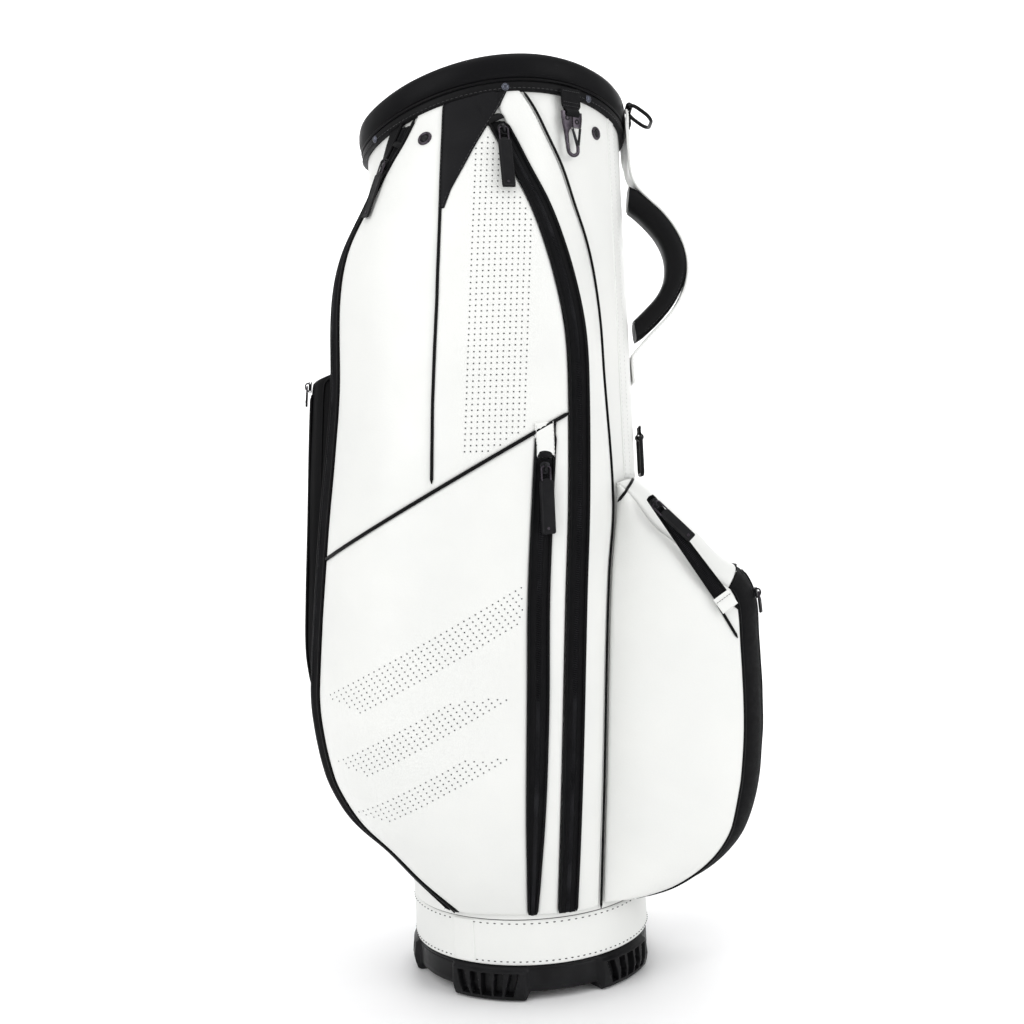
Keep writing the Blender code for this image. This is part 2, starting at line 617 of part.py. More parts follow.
# ---- back pocket -----------------------------------------------------------------
def back_section(z, t):
    """Half-round-cornered U from the trunk out and back, t from -1 (near) to 1 (far)."""
    x = along(BACK_X, z)
    end = min(1.0, ease((z - BACK_LOW) / 0.022) * 1.0, ease((BACK_HIGH - z) / 0.022)) * 0.9 + 0.1
    reach = -trunk_r(z) - LIFT + (x + trunk_r(z) + LIFT) * math.sqrt(end)
    foot = -math.sqrt((trunk_r(z) + LIFT) ** 2 - BACK_HALF ** 2)
    a, s = abs(t), math.copysign(1.0, t)
    if a > 0.55:
        k = (a - 0.55) / 0.45
        return Vector((reach + 0.014 + (foot - reach - 0.014) * k if reach + 0.014 < foot
                       else foot, s * BACK_HALF, z))
    k = a / 0.55
    y = BACK_HALF * math.sin(k * math.pi / 2) ** 0.8
    x = min(reach + 0.014 * (1 - math.sqrt(max(0.0, 1 - k ** 3))), foot)
    return Vector((x, s * y, z))


sheet("back_pocket", lambda t, z: back_section(z, t),
      [-1.0, -0.8, -0.55, -0.45, -0.30, 0.0, 0.30, 0.45, 0.55, 0.8, 1.0],
      [BACK_LOW, 0.281, 0.290, 0.300, 0.35, 0.42, 0.50, 0.570, 0.600, 0.610, 0.618, BACK_HIGH],
      PANEL, BLACK, flip=True)


# ---- zip sliders and pulls -------------------------------------------------------
def slider(name, frame, metal, origin):
    """Base plate with two short posts; the pull's eye turns between them."""
    cs, ds, ns = (-0.0042, -0.0017, 0.0017, 0.0042), (-0.0055, -0.0019, 0.0019, 0.0055), (
        0.0, 0.0020, 0.0062)
    kept = {(i, j, 0) for i in range(3) for j in range(3)} | {(0, 1, 1), (2, 1, 1)}
    index, verts, faces = {}, [], []

    def corner(c):
        if c not in index:
            index[c] = len(verts)
            verts.append(frame @ Vector((cs[c[0]], ds[c[1]], ns[c[2]])))
        return index[c]
    for i, j, k in sorted(kept):
        for step, quad in (((-1, 0, 0), ((0, 0, 0), (0, 0, 1), (0, 1, 1), (0, 1, 0))),
                           ((1, 0, 0), ((1, 0, 0), (1, 1, 0), (1, 1, 1), (1, 0, 1))),
                           ((0, -1, 0), ((0, 0, 0), (1, 0, 0), (1, 0, 1), (0, 0, 1))),
                           ((0, 1, 0), ((0, 1, 0), (0, 1, 1), (1, 1, 1), (1, 1, 0))),
                           ((0, 0, -1), ((0, 0, 0), (0, 1, 0), (1, 1, 0), (1, 0, 0))),
                           ((0, 0, 1), ((0, 0, 1), (1, 0, 1), (1, 1, 1), (0, 1, 1)))):
            if (i + step[0], j + step[1], k + step[2]) not in kept:
                faces.append(tuple(corner((i + a, j + b, k + c)) for a, b, c in quad))
    return body(name, verts, faces, metal, origin)


def runner(tag, foot, down, out, hang, length, width, metal):
    """Slider running along `down`, and its pull hanging along `hang` flat on the surface."""
    d, n = Vector(down).normalized(), Vector(out)
    n = (n - d * n.dot(d)).normalized()
    o = Vector(foot)
    slider(tag + "_slider", axes(o, d.cross(n), d), metal, o)
    h = Vector(hang)
    h = (h - n * h.dot(n)).normalized()
    c = h.cross(n)
    pin = o + n * 0.0046
    neck, thick = 0.0007, 0.0022
    side = [(-0.0016, -neck), (0.0062, -neck), (0.0078, -width / 2), (length, -width / 2),
            (length, width / 2), (0.0078, width / 2), (0.0062, neck), (-0.0016, neck)]
    prism(tag + "_pull", side, thick, axes(pin, h, c), metal, origin=pin)
    return d, n, c, pin


def surface_frame(fn, t, z, dz):
    """Foot, downward run and outward normal of a zip band surface."""
    p, q = fn(t, z), fn(t, z - dz)
    across = fn(t + 0.02, z) - fn(t - 0.02, z)
    run = q - p
    return p, run, across


def place(tag, fn, t, z, dz, out_hint, hang, length, width, metal, lift=0.0012):
    p, run, across = surface_frame(fn, t, z, dz)
    n = across.cross(run).normalized()
    if n.dot(Vector(out_hint)) < 0:
        n = -n
    return runner(tag, p + n * lift, run, n, hang, length, width, metal)


place("front_zip", near_front_zip, 0.5, 0.8150, 0.050, (0, -1, 0), (0, 0, -1), 0.0585, 0.0120, GUN)
place("mid_zip", near_mid_zip, 0.0, 0.5000, 0.100, (0, -1, 0), (0, 0, -1), 0.0600, 0.0130, GUN)
place("back_zip", near_gusset, 0.15, 0.7990, 0.050, (-1, -1, 0), (-0.22, 0, -1), 0.0560, 0.0120, GUN)
place("far_front_zip", mirrored(near_front_zip), 0.5, 0.8150, 0.050, (0, 1, 0), (0, 0, -1), 0.0585,
      0.0120, GUN)

DIAG_TOP, DIAG_LOW = Vector((0.1330, -0.1020, 0.4695)), Vector((0.1980, -0.0985, 0.3700))


def diag_band(u, v):
    run = DIAG_LOW - DIAG_TOP
    side = Vector((run.z, 0, -run.x)).normalized()
    return DIAG_TOP + run * v + side * u * 0.0065


sheet("ball_diag_zip", diag_band, (-1.0, 1.0), spread(0.0, 1.0, 3), 0.0012, TAPE, flip=True)
place("ball_diag", diag_band, 0.0, 0.07, -0.5, (0, -1, 0), (1.0, 0, -1.04), 0.0480, 0.0100, GUN)


def ball_leg(y, z):
    lo, hi = BALL_CORNER, 0.75
    for _ in range(30):
        mid = (lo + hi) / 2
        lo, hi = (mid, hi) if ball_skin(mid, -0.066 + 0.01 * y).z > z else (lo, mid)
    return ball_skin(lo, -0.066 + 0.01 * y)


place("ball_zip", ball_leg, 0.0, 0.3700, 0.034, (1, -1, 0), (0, 0, -1), 0.0200, 0.0080, GUN)
place("back_pocket_zip", lambda t, z: back_section(z, -0.30 + t * 0.2), 0.0, 0.5980, 0.080,
      (-1, 0, 0), (0, 0, -1), 0.0200, 0.0080, GUN)


# ---- handle ----------------------------------------------------------------------
def carry(path, k):
    """Point, tangent and outward normal of a polyline in the XZ plane."""
    p = Vector((path[k][0], 0.0, path[k][1]))
    a = path[max(0, k - 1)]
    b = path[min(len(path) - 1, k + 1)]
    d = Vector((b[0] - a[0], 0.0, b[1] - a[1])).normalized()
    return p, d, Vector((-d.z, 0.0, d.x))


def handle():
    loops = []
    section = rounded(GRIP_DEEP, GRIP_WIDE, 0.0070, 2)
    for k in range(len(GRIP_PATH)):
        p, d, n = carry(GRIP_PATH, k)
        if k in (0, len(GRIP_PATH) - 1):
            n = Vector((n.x * 0.15, 0.0, math.copysign(1.0, n.z))).normalized()
        loops.append([p + n * a + Vector((0, b, 0)) for a, b in section])
    ob = rings("handle_grip", [list(reversed(loop)) for loop in loops], BLACK)
    out = []
    for k in range(len(GRIP_PATH)):
        p, d, n = carry(GRIP_PATH, k)
        out.append(p + n * (GRIP_DEEP / 2 + 0.0006))
    tail_up = [Vector((x, 0, z)) for x, z in ((0.1394, 0.8690), (0.1394, 0.8540), (0.1394, 0.8400),
                                              (0.1392, 0.8240), (0.1392, 0.8060),
                                              (0.1440, 0.7925))]
    tail_low = [Vector((x, 0, z)) for x, z in ((0.1408, 0.6270), (0.1318, 0.6160),
                                               (0.1314, 0.5880))]
    line = tail_up + out[1:-1] + tail_low
    half = (0.0250, 0.0330, 0.0345, 0.0300, 0.0210)      # the sewn head is leaf-shaped
    bow = (1.0, 1.0, 1.0, 1.0, 0.8, 0.3)
    loops = []
    for k, p in enumerate(line):
        a, b = line[max(0, k - 1)], line[min(len(line) - 1, k + 1)]
        d = (b - a).normalized()
        n = Vector((-d.z, 0.0, d.x))
        w = half[k] if k < len(half) else STRAP_WIDE / 2
        curl = bow[k] if k < len(bow) else 0.0
        inner, outer = [], []
        for y in (-w, -w / 2, 0.0, w / 2, w):
            q = p + Vector((curl * (math.sqrt(0.1394 ** 2 - y * y) - 0.1394), y, 0.0))
            inner.append(q)
            outer.append(q + n * STRAP_THICK)
        loops.append([inner[0]] + outer + list(reversed(inner[1:])))
    rings("handle_strap", [list(reversed(loop)) for loop in loops], WHITE)
    return ob


handle()


# ---- strap rings and their tabs --------------------------------------------------
def wire_loop(name, path, radius, mat, origin, n=8):
    """Round wire carried along a closed path of points."""
    m = len(path)
    pts = [Vector(p) for p in path]
    mid = sum(pts, Vector()) / m
    flat = (pts[0] - mid).cross(pts[m // 4] - mid).normalized()
    loops = []
    for k, p in enumerate(pts):
        d = (pts[(k + 1) % m] - pts[k - 1]).normalized()
        out = d.cross(flat)
        loops.append([p + (out * math.cos(2 * math.pi * i / n)
                           + flat * math.sin(2 * math.pi * i / n)) * radius for i in range(n)])
    return rings(name, loops, mat, loop_closed=True, origin=origin)


def eye_tab(name, pin, tail, face, length, width, mat):
    """Folded webbing: an eye round the pin and a two-layer tail running along `tail`."""
    m = axes(pin, tail, face)
    inner, thick = 0.0027, 0.0012
    r = inner + thick
    fold = math.asin(thick / r)
    turn = [fold + (2 * math.pi - 2 * fold - math.radians(14)) * k / 11 for k in range(12)]
    outer = [(r * math.cos(a), r * math.sin(a)) for a in turn]
    bore = [(inner * math.cos(a), inner * math.sin(a)) for a in reversed(turn)]
    close = [(inner * math.cos(a), inner * math.sin(a)) for a in (0.0, -fold)]
    outline = [(length, thick)] + outer + bore + close + [(r * math.cos(fold), -thick),
                                                          (length, -thick)]
    prism(name, outline, width, m, mat)


RING_HINGE = Vector((0.1430, 0.0, 0.8760))
ring_down = Vector((0.78, 0.0, -0.62)).normalized()
ring_path = []
for a, b in rounded(0.0360, 0.0280, 0.0110, 3):
    ring_path.append(RING_HINGE + Vector((0, a, 0)) + ring_down * (0.0140 - b))
wire_loop("strap_ring", ring_path, 0.0019, MOULD, RING_HINGE)
eye_tab("strap_ring_tab", RING_HINGE, (0, 0, -1), (1, 0, 0), 0.0200, 0.0180, CLOTH)

LOW_HINGE = Vector((0.1372, 0.0, 0.5325))
low_path = [LOW_HINGE + Vector((0.0, a, b - 0.0195))
            for a, b in rounded(0.0320, 0.0390, 0.0050, 3)]
wire_loop("lower_ring", low_path, 0.0019, MOULD, LOW_HINGE)
eye_tab("lower_ring_tab", LOW_HINGE, (0, 0, 1), (1, 0, 0), 0.0120, 0.0200, CLOTH)


# ---- snap hook on its webbing ----------------------------------------------------
HOOK_AZ = math.radians(33.0)
hook_out = polar(HOOK_AZ, 1.0, 0.0)
hook_side = Vector((math.cos(HOOK_AZ), math.sin(HOOK_AZ), 0.0))
HOOK_PIN = polar(HOOK_AZ, TRUNK_R + 0.0080, 0.8345)
eye_tab("hook_webbing", HOOK_PIN, (0, 0, 1), hook_out, 0.0235, 0.0150, CLOTH)


def hook():
    """Flat sprung clip: an open loop with a gate closing its side."""
    m = axes(HOOK_PIN, hook_side, (0, 0, 1))
    w, h, bar = 0.0230, 0.0415, 0.0034
    outer = rounded(w, h, 0.0060, 3)
    inner = rounded(w - 2 * bar, h - 2 * bar, 0.0010, 3)
    shift = h / 2 - bar / 2
    lo, hi = -0.0300, -0.0095        # the opened stretch on the right side
    path_out = [(a, b - shift) for a, b in outer]
    path_in = [(a, b - shift) for a, b in inner]

    # both loops start at the upper right corner and run counter-clockwise, so the
    # opened stretch is the straight run from their last point back to their first
    outline = [(w / 2, hi)] + path_out + [(w / 2, lo), (w / 2 - bar, lo)] + list(
        reversed(path_in)) + [(w / 2 - bar, hi)]
    prism("hook_body", outline, 0.0030, m, GUN, origin=HOOK_PIN)
    pivot = m @ Vector((w / 2 - bar / 2, lo + 0.0021, 0.0))
    gate = [(-0.0013, -0.0012), (0.0013, -0.0012), (0.0013, hi - lo - 0.0026),
            (-0.0013, hi - lo - 0.0026)]
    g = axes(pivot, hook_side, (0, 0, 1))
    prism("hook_gate", gate, 0.0026, g, GUN, origin=pivot)


hook()


# ---- press studs for a rain hood -------------------------------------------------
foot = near_panel(at_x(-0.0632, 0.8146), 0.8146)
dome("stud_left", math.atan2(foot.x, -foot.y), math.hypot(foot.x, foot.y) + 0.0024, 0.8146, 0.0062,
     0.0022, GUN)
az = math.radians(50.0)
dome("stud_right", az, TRUNK_R + 0.0006, 0.8250, 0.0056, 0.0022, GUN)
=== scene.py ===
"""Golf staff bag: white leather-cloth panels, black zips and piping, padded collar, footed base."""
import json
import math
import bpy
import numpy as np
from mathutils import Matrix
from mathutils.bvhtree import BVHTree


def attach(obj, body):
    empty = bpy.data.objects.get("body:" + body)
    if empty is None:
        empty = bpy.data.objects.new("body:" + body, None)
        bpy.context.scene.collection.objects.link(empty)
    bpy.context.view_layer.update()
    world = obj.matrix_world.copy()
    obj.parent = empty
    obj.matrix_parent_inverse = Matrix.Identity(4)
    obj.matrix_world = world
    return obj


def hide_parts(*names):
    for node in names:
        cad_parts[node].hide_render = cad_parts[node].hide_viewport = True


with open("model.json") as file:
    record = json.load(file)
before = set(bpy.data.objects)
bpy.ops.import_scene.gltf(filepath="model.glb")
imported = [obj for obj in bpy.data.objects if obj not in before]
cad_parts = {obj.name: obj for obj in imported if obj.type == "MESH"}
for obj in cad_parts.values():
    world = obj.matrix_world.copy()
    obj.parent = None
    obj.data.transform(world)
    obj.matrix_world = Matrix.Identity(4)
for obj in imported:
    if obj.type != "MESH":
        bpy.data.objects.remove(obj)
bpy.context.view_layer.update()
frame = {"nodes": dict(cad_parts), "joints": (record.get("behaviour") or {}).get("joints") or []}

TX = -0.0137                      # trunk axis in the row frame

# ---- camera: the photograph's, fitted to the base band and the collar -------------
camera_data = bpy.data.cameras.new("camera")
camera_data.lens, camera_data.sensor_width = 41.086, 36.0
camera_data.clip_start = 0.05
camera = bpy.data.objects.new("camera", camera_data)
camera.matrix_world = (Matrix.Translation((TX + 0.00065, -1.22, 0.46158))
                       @ Matrix.Rotation(math.pi / 2, 4, "X") @ Matrix.Rotation(-0.050, 4, "Z"))
bpy.context.scene.collection.objects.link(camera)
bpy.context.scene.camera = camera

# ---- sizes shared with the CAD ----------------------------------------------------
TRUNK_R, TRUNK_LOW = 0.1305, 0.0775
FLARE = ((TRUNK_LOW, 0.1195), (0.120, 0.1214), (0.160, 0.1238), (0.200, 0.1263),
         (0.250, 0.1289), (0.330, TRUNK_R))
LIFT, ZIP_HALF = 0.0035, 0.0085
COLLAR_H, LIP_H, COLLAR_OUT, COLLAR_IN = 0.0255, 0.0095, 0.1385, 0.1228
BASE_R, BASE_TOP, BAND_TOP = 0.1180, 0.0335, 0.0765
FOOT_LIFT = 0.0090
FOOT_FIRST, FOOT_HALF = math.radians(-22.0), math.radians(18.5)
FRAME_Z, FRAME_H, BAR_X = 0.8360, 0.0140, 0.0420
EDGE_X = ((0.080, -0.066), (0.112, -0.103), (0.140, -0.131), (0.164, -0.157), (0.189, -0.175),
          (0.214, -0.186), (0.263, -0.195), (0.300, -0.196), (0.434, -0.182), (0.579, -0.163),
          (0.677, -0.157), (0.725, -0.145), (0.772, -0.1150), (0.820, -0.0840), (0.840, -0.0710))
EDGE_Y = ((0.080, -0.106), (0.112, -0.100), (0.164, -0.087), (0.214, -0.080), (0.677, -0.080),
          (0.725, -0.083), (0.772, -0.0985), (0.820, -0.1075), (0.840, -0.1152))
FRONT_X = ((0.080, 0.034), (0.197, 0.043), (0.379, 0.056), (0.469, 0.063), (0.583, 0.068),
           (0.629, 0.067), (0.675, 0.060), (0.716, 0.050), (0.749, 0.039), (0.782, 0.024),
           (0.809, 0.012), (0.840, -0.003))
FRONT_Y = ((0.080, -0.1205), (0.130, -0.134), (0.200, -0.146), (0.290, -0.153), (0.600, -0.153),
           (0.716, -0.147), (0.782, -0.139), (0.840, -0.1352))
BELLY_Y = ((0.080, -0.1245), (0.130, -0.146), (0.200, -0.168), (0.290, -0.178), (0.480, -0.182),
           (0.620, -0.175), (0.716, -0.160), (0.782, -0.146), (0.840, -0.1360))
WELT_X = ((0.076, 0.065), (0.183, 0.073), (0.326, 0.083), (0.397, 0.089), (0.468, 0.097),
          (0.593, 0.094), (0.640, 0.093), (0.684, 0.089), (0.717, 0.083), (0.751, 0.073),
          (0.785, 0.063), (0.813, 0.051), (0.839, 0.039), (0.862, 0.024))
MID_ZIP_X = ((0.080, 0.001), (0.201, 0.010), (0.291, 0.016), (0.381, 0.021), (0.471, 0.029),
             (0.540, 0.036))
SASH_Z, SASH_SLOPE = 0.5195, 0.522
NEAR_LOW, ZIP_A_HIGH = 0.0825, 0.8230
BALL_PROFILE = ((0.1355, 0.4905), (0.158, 0.463), (0.181, 0.436), (0.205, 0.409), (0.228, 0.391),
                (0.2385, 0.368), (0.2405, 0.320), (0.2405, 0.260), (0.2375, 0.215),
                (0.2300, 0.170), (0.2150, 0.134), (0.1920, 0.107), (0.1600, 0.088),
                (0.1270, 0.0800))
COVER_Y, BALL_Y, BALL_DROP, CORNER = 0.047, 0.086, 0.032, 0.262
BACK_X = ((0.275, -0.2060), (0.300, -0.2120), (0.332, -0.2150), (0.383, -0.2125),
          (0.459, -0.2070), (0.560, -0.2000), (0.600, -0.1960), (0.621, -0.1900))
BACK_LOW, BACK_HIGH, BACK_HALF = 0.2760, 0.6220, 0.0400
GRIP_PATH = ((0.1372, 0.7795), (0.1523, 0.7665), (0.1660, 0.7515), (0.1760, 0.7350),
             (0.1815, 0.7190), (0.1822, 0.7040), (0.1790, 0.6885), (0.1700, 0.6725),
             (0.1565, 0.6580), (0.1450, 0.6480), (0.1372, 0.6415))


# ---- numbers ----------------------------------------------------------------------
def along(table, z):
    """Smooth value of a station table at z (cubic Hermite, held at the ends)."""
    xs, vs = np.array(table, float).T
    slope = np.diff(vs) / np.diff(xs)
    m = np.concatenate([slope[:1], (vs[2:] - vs[:-2]) / (xs[2:] - xs[:-2]), slope[-1:]])
    z = np.clip(np.asarray(z, float), xs[0], xs[-1])
    k = np.clip(np.searchsorted(xs, z, side="right") - 1, 0, len(xs) - 2)
    h = xs[k + 1] - xs[k]
    t = (z - xs[k]) / h
    return ((2 * t ** 3 - 3 * t ** 2 + 1) * vs[k] + (t ** 3 - 2 * t ** 2 + t) * h * m[k]
            + (3 * t ** 2 - 2 * t ** 3) * vs[k + 1] + (t ** 3 - t ** 2) * h * m[k + 1])


def ease(t):
    """Smooth step from 0 to 1."""
    t = np.clip(t, 0.0, 1.0)
    return t * t * (3 - 2 * t)


def stack(x, y, z):
    """Points from three coordinate arrays, broadcast together."""
    return np.stack(np.broadcast_arrays(x, y, z), axis=-1).astype(float)


def trunk_r(z):
    """Radius of the trunk's skin at height z."""
    return np.interp(z, [s[0] for s in FLARE], [s[1] for s in FLARE])


def rim(az):
    """Height of the uneven rim of the collar at azimuth az."""
    return 0.8780 + 0.0100 * np.cos(2 * (az - math.radians(12.0))) + 0.0050 * np.sin(az)


def lip_low(az):
    """Height of the lower edge of the band under the collar."""
    return rim(az) - COLLAR_H - 0.0008 - LIP_H


def polar(az, r, z):
    """Point at azimuth az from the near side, radius r and height z."""
    return stack(r * np.sin(az), -r * np.cos(az), z)


def bezier(a, b, c, d, t):
    """Point on a cubic Bezier curve."""
    t = np.asarray(t)[..., None]
    return a * (1 - t) ** 3 + 3 * b * t * (1 - t) ** 2 + 3 * c * t * t * (1 - t) + d * t ** 3


def unit(v):
    """Vectors scaled to length 1."""
    v = np.asarray(v, float)
    return v / np.maximum(np.linalg.norm(v, axis=-1, keepdims=True), 1e-12)


def smooth_line(points, n):
    """n points evenly spread on a Catmull-Rom curve through the given ones."""
    p = np.array(points, float)
    s = np.concatenate([[0], np.cumsum(np.linalg.norm(np.diff(p, axis=0), axis=1))])
    q = np.linspace(0, s[-1], n)
    return np.stack([along(list(zip(s, p[:, k])), q) for k in range(p.shape[1])], axis=-1)


def evenly(p, pitch):
    """The polyline p resampled at about this pitch."""
    p = np.asarray(p, float)
    s = np.concatenate([[0], np.cumsum(np.linalg.norm(np.diff(p, axis=0), axis=1))])
    q = np.linspace(0, s[-1], max(2, int(round(s[-1] / pitch)) + 1))
    return np.stack([np.interp(q, s, p[:, k]) for k in range(p.shape[1])], axis=-1)


def wobble(p, wave, seed):
    """Slow unevenness from -1 to 1 with about this wavelength, as hand-made work has."""
    rng = np.random.default_rng(seed)
    out = 0.0
    for _ in range(5):
        k = unit(rng.normal(size=3)) * 2 * math.pi / (wave * rng.uniform(0.6, 1.6))
        out = out + np.sin(p @ k + rng.uniform(0, 6.28))
    return out / 3.2


def ends_dense(n, length, w):
    """Stations 0..1, denser within w of both ends, where an edge rolls over."""
    near = np.array([0, 0.12, 0.3, 0.55, 0.85, 1.3]) * w / length
    mid = np.linspace(near[-1], 1 - near[-1], n)
    return np.concatenate([near[:-1], mid, 1 - near[:-1][::-1]])


# ---- mesh pieces ------------------------------------------------------------------
class Heap:
    """Vertices and faces gathered into one piece; positions are relative to the trunk axis."""

    def __init__(self):
        self.verts, self.faces, self.n = [], [], 0

    def add(self, verts, faces):
        verts = np.asarray(verts, float).reshape(-1, 3)
        self.faces += [tuple(int(i) + self.n for i in f) for f in faces]
        self.verts.append(verts)
        self.n += len(verts)
        return self

    def done(self, name, mat, slot, body="bag", nodes=(), sharp=38.0):
        mesh = bpy.data.meshes.new(name)
        v = np.concatenate(self.verts) + (TX, 0.0, 0.0)
        mesh.from_pydata(v.tolist(), [], self.faces)
        mesh.shade_smooth()
        mesh.set_sharp_from_angle(angle=math.radians(sharp))
        mesh.materials.append(mat)
        ob = bpy.data.objects.new(name, mesh)
        bpy.context.scene.collection.objects.link(ob)
        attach(ob, body)
        if nodes:
            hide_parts(*nodes)
        return ob


def grid_faces(nu, nv, flip=False, around=False):
    i, j = np.meshgrid(np.arange(nu if around else nu - 1), np.arange(nv - 1), indexing="ij")
    a, b = i * nv + j, ((i + 1) % nu) * nv + j
    f = np.stack([a, b, b + 1, a + 1], axis=-1).reshape(-1, 4)
    return f[:, ::-1] if flip else f


def grid_normals(p, around=False):
    if around:
        du = np.roll(p, -1, axis=0) - np.roll(p, 1, axis=0)
    else:
        du = np.gradient(p, axis=0)
    return unit(np.cross(du, np.gradient(p, axis=1)))


def outward(p, n, out=None):
    """n or -n, whichever leaves the trunk (or goes with `out`)."""
    ref = p * (1, 1, 0) if out is None else np.broadcast_to(out, p.shape)
    return n if (n * ref).sum() > 0 else -n


def border(p, axes="uv"):
    """Distance of each grid point from the nearest border, along the surface."""
    d = np.full(p.shape[:2], 9.0)
    for axis, tag in ((0, "u"), (1, "v")):
        if tag in axes:
            step = np.linalg.norm(np.diff(p, axis=axis), axis=-1)
            s = np.concatenate([np.zeros_like(np.take(step, [0], axis)),
                                np.cumsum(step, axis=axis)], axis=axis)
            end = np.take(s, [-1], axis)
            d = np.minimum(d, np.minimum(s, end - s))
    return d


def roll_edge(d, depth, width):
    k = np.clip(1 - d / width, 0, 1)
    return -depth * (1 - np.sqrt(1 - 0.98 * k * k))


def shell(heap, p, n, thick, around=False):
    """Closed sheet: the grid p, its copy `thick` inside, and the rims."""
    nu, nv = p.shape[:2]
    du = p[1:, :-1] - p[:-1, :-1]
    dv = p[:-1, 1:] - p[:-1, :-1]
    flip = (np.cross(du, dv) * n[:-1, :-1]).sum() < 0
    m = nu * nv
    outer = grid_faces(nu, nv, flip, around)
    inner = grid_faces(nu, nv, not flip, around) + m
    rims = []

    def rim_faces(ids, turn):
        for a, b in zip(ids[:-1], ids[1:]):
            q = (a, b, b + m, a + m)
            rims.append(q if turn else q[::-1])
    idx = np.arange(m).reshape(nu, nv)
    loop = np.append(idx[:, 0], idx[0, 0]) if around else idx[:, 0]
    top = np.append(idx[:, -1], idx[0, -1]) if around else idx[:, -1]
    rim_faces(loop, flip)
    rim_faces(top, not flip)
    if not around:
        rim_faces(idx[0], not flip)
        rim_faces(idx[-1], flip)
    heap.add(np.concatenate([p.reshape(-1, 3), (p - n * thick).reshape(-1, 3)]),
             [*outer.tolist(), *inner.tolist(), *rims])
    return heap


def panel(name, p, mat, slot, nodes=(), thick=0.0022, roll=(0.0014, 0.0050), puff=0.0,
          wave=0.0, seed=1, seams=(), out=None, axes="uv", sharp=50.0):
    """A sewn panel: edges roll down to their seams, the middle is slightly full and uneven."""
    n = outward(p, grid_normals(p), out)
    d = border(p, axes)
    lift = roll_edge(d, *roll) + puff * (1 - np.exp(-d / 0.020))
    if wave:
        lift = lift + wave * wobble(p, 0.11, seed) * (1 - np.exp(-d / 0.015))
        lift = lift + 0.35 * wave * wobble(p, 0.035, seed + 7) * (1 - np.exp(-d / 0.010))
    for line, depth, width in seams:
        lift = lift - depth * np.exp(-(line(p) / width) ** 2)
    q = p + n * lift[..., None]
    n2 = outward(q, grid_normals(q), out)
    return shell(Heap(), q, n2, thick).done(name, mat, slot, nodes=nodes, sharp=sharp)


def skin(loops, closed=False, caps=True):
    """Faces over a row of equal loops."""
    loops = np.asarray(loops, float)
    m, n = loops.shape[:2]
    faces = []
    for k in range(m if closed else m - 1):
        a, b = k * n, ((k + 1) % m) * n
        faces += [(a + i, a + (i + 1) % n, b + (i + 1) % n, b + i) for i in range(n)]
    if caps and not closed:
        faces += [tuple(reversed(range(n))), tuple(range((m - 1) * n, m * n))]
    mid = loops.mean(axis=1)
    across = loops[0, 0] - mid[0]
    turn = np.cross(across, loops[0, max(1, n // 4)] - mid[0])
    if turn @ (mid[1] - mid[0]) < 0:
        faces = [f[::-1] for f in faces]
    return loops.reshape(-1, 3), faces


def carried(p, closed=False, up=None):
    """Tangent, side and lift vectors along a polyline, without twist."""
    p = np.asarray(p, float)
    if closed:
        t = unit(np.roll(p, -1, axis=0) - np.roll(p, 1, axis=0))
    else:
        t = unit(np.gradient(p, axis=0))
    if up is not None:
        up = np.broadcast_to(np.asarray(up, float), p.shape)
        side = unit(np.cross(t, up))
        return t, side, np.cross(side, t)
    n = np.zeros_like(p)
    seed = np.array([0, 0, 1.0]) if abs(t[0][2]) < 0.9 else np.array([1.0, 0, 0])
    n[0] = unit(seed - t[0] * (seed @ t[0]))
    for k in range(1, len(p)):
        v = n[k - 1] - t[k] * (n[k - 1] @ t[k])
        n[k] = unit(v)
    return t, np.cross(t, n), n


def tube(heap, p, r, sides=8, closed=False, up=None, flat=1.0, taper=0.0):
    """Round (or flattened) rod along a polyline."""
    p = np.asarray(p, float)
    _, side, lift = carried(p, closed, up)
    a = 2 * math.pi * (np.arange(sides) + 0.5) / sides
    size = np.full(len(p), float(r)) if np.ndim(r) == 0 else np.asarray(r, float)
    if taper and not closed:
        s = np.concatenate([[0], np.cumsum(np.linalg.norm(np.diff(p, axis=0), axis=1))])
        near = np.minimum(s, s[-1] - s)
        size = size * np.sqrt(np.clip(1 - (1 - np.clip(near / taper, 0, 1)) ** 2, 0.05, 1))
    loops = (p[:, None] + size[:, None, None]
             * (side[:, None] * np.cos(a)[None, :, None]
                + lift[:, None] * (flat * np.sin(a))[None, :, None]))
    return heap.add(*skin(loops, closed))


def rounded(w, h, r, per=4):
    """Rounded rectangle centred on zero, counter-clockwise."""
    out = []
    r = max(r, 0.00005)
    for cx, cy, a0 in ((w / 2 - r, h / 2 - r, 0), (-w / 2 + r, h / 2 - r, 90),
                       (-w / 2 + r, -h / 2 + r, 180), (w / 2 - r, -h / 2 + r, 270)):
        for k in range(per + 1):
            a = math.radians(a0 + 90 * k / per)
            out.append((cx + r * math.cos(a), cy + r * math.sin(a)))
    return np.array(out)


def plate(heap, o, x, y, z, w, h, r, levels, per=4):
    """Rounded plate built up in z: levels are (inset, height) from one face to the other."""
    o, x, y, z = (np.asarray(v, float) for v in (o, x, y, z))
    loops = []
    for inset, height in levels:
        q = rounded(w - 2 * inset, h - 2 * inset, r - inset, per)
        loops.append(o + q[:, :1] * x + q[:, 1:] * y + height * z)
    return heap.add(*skin(loops))


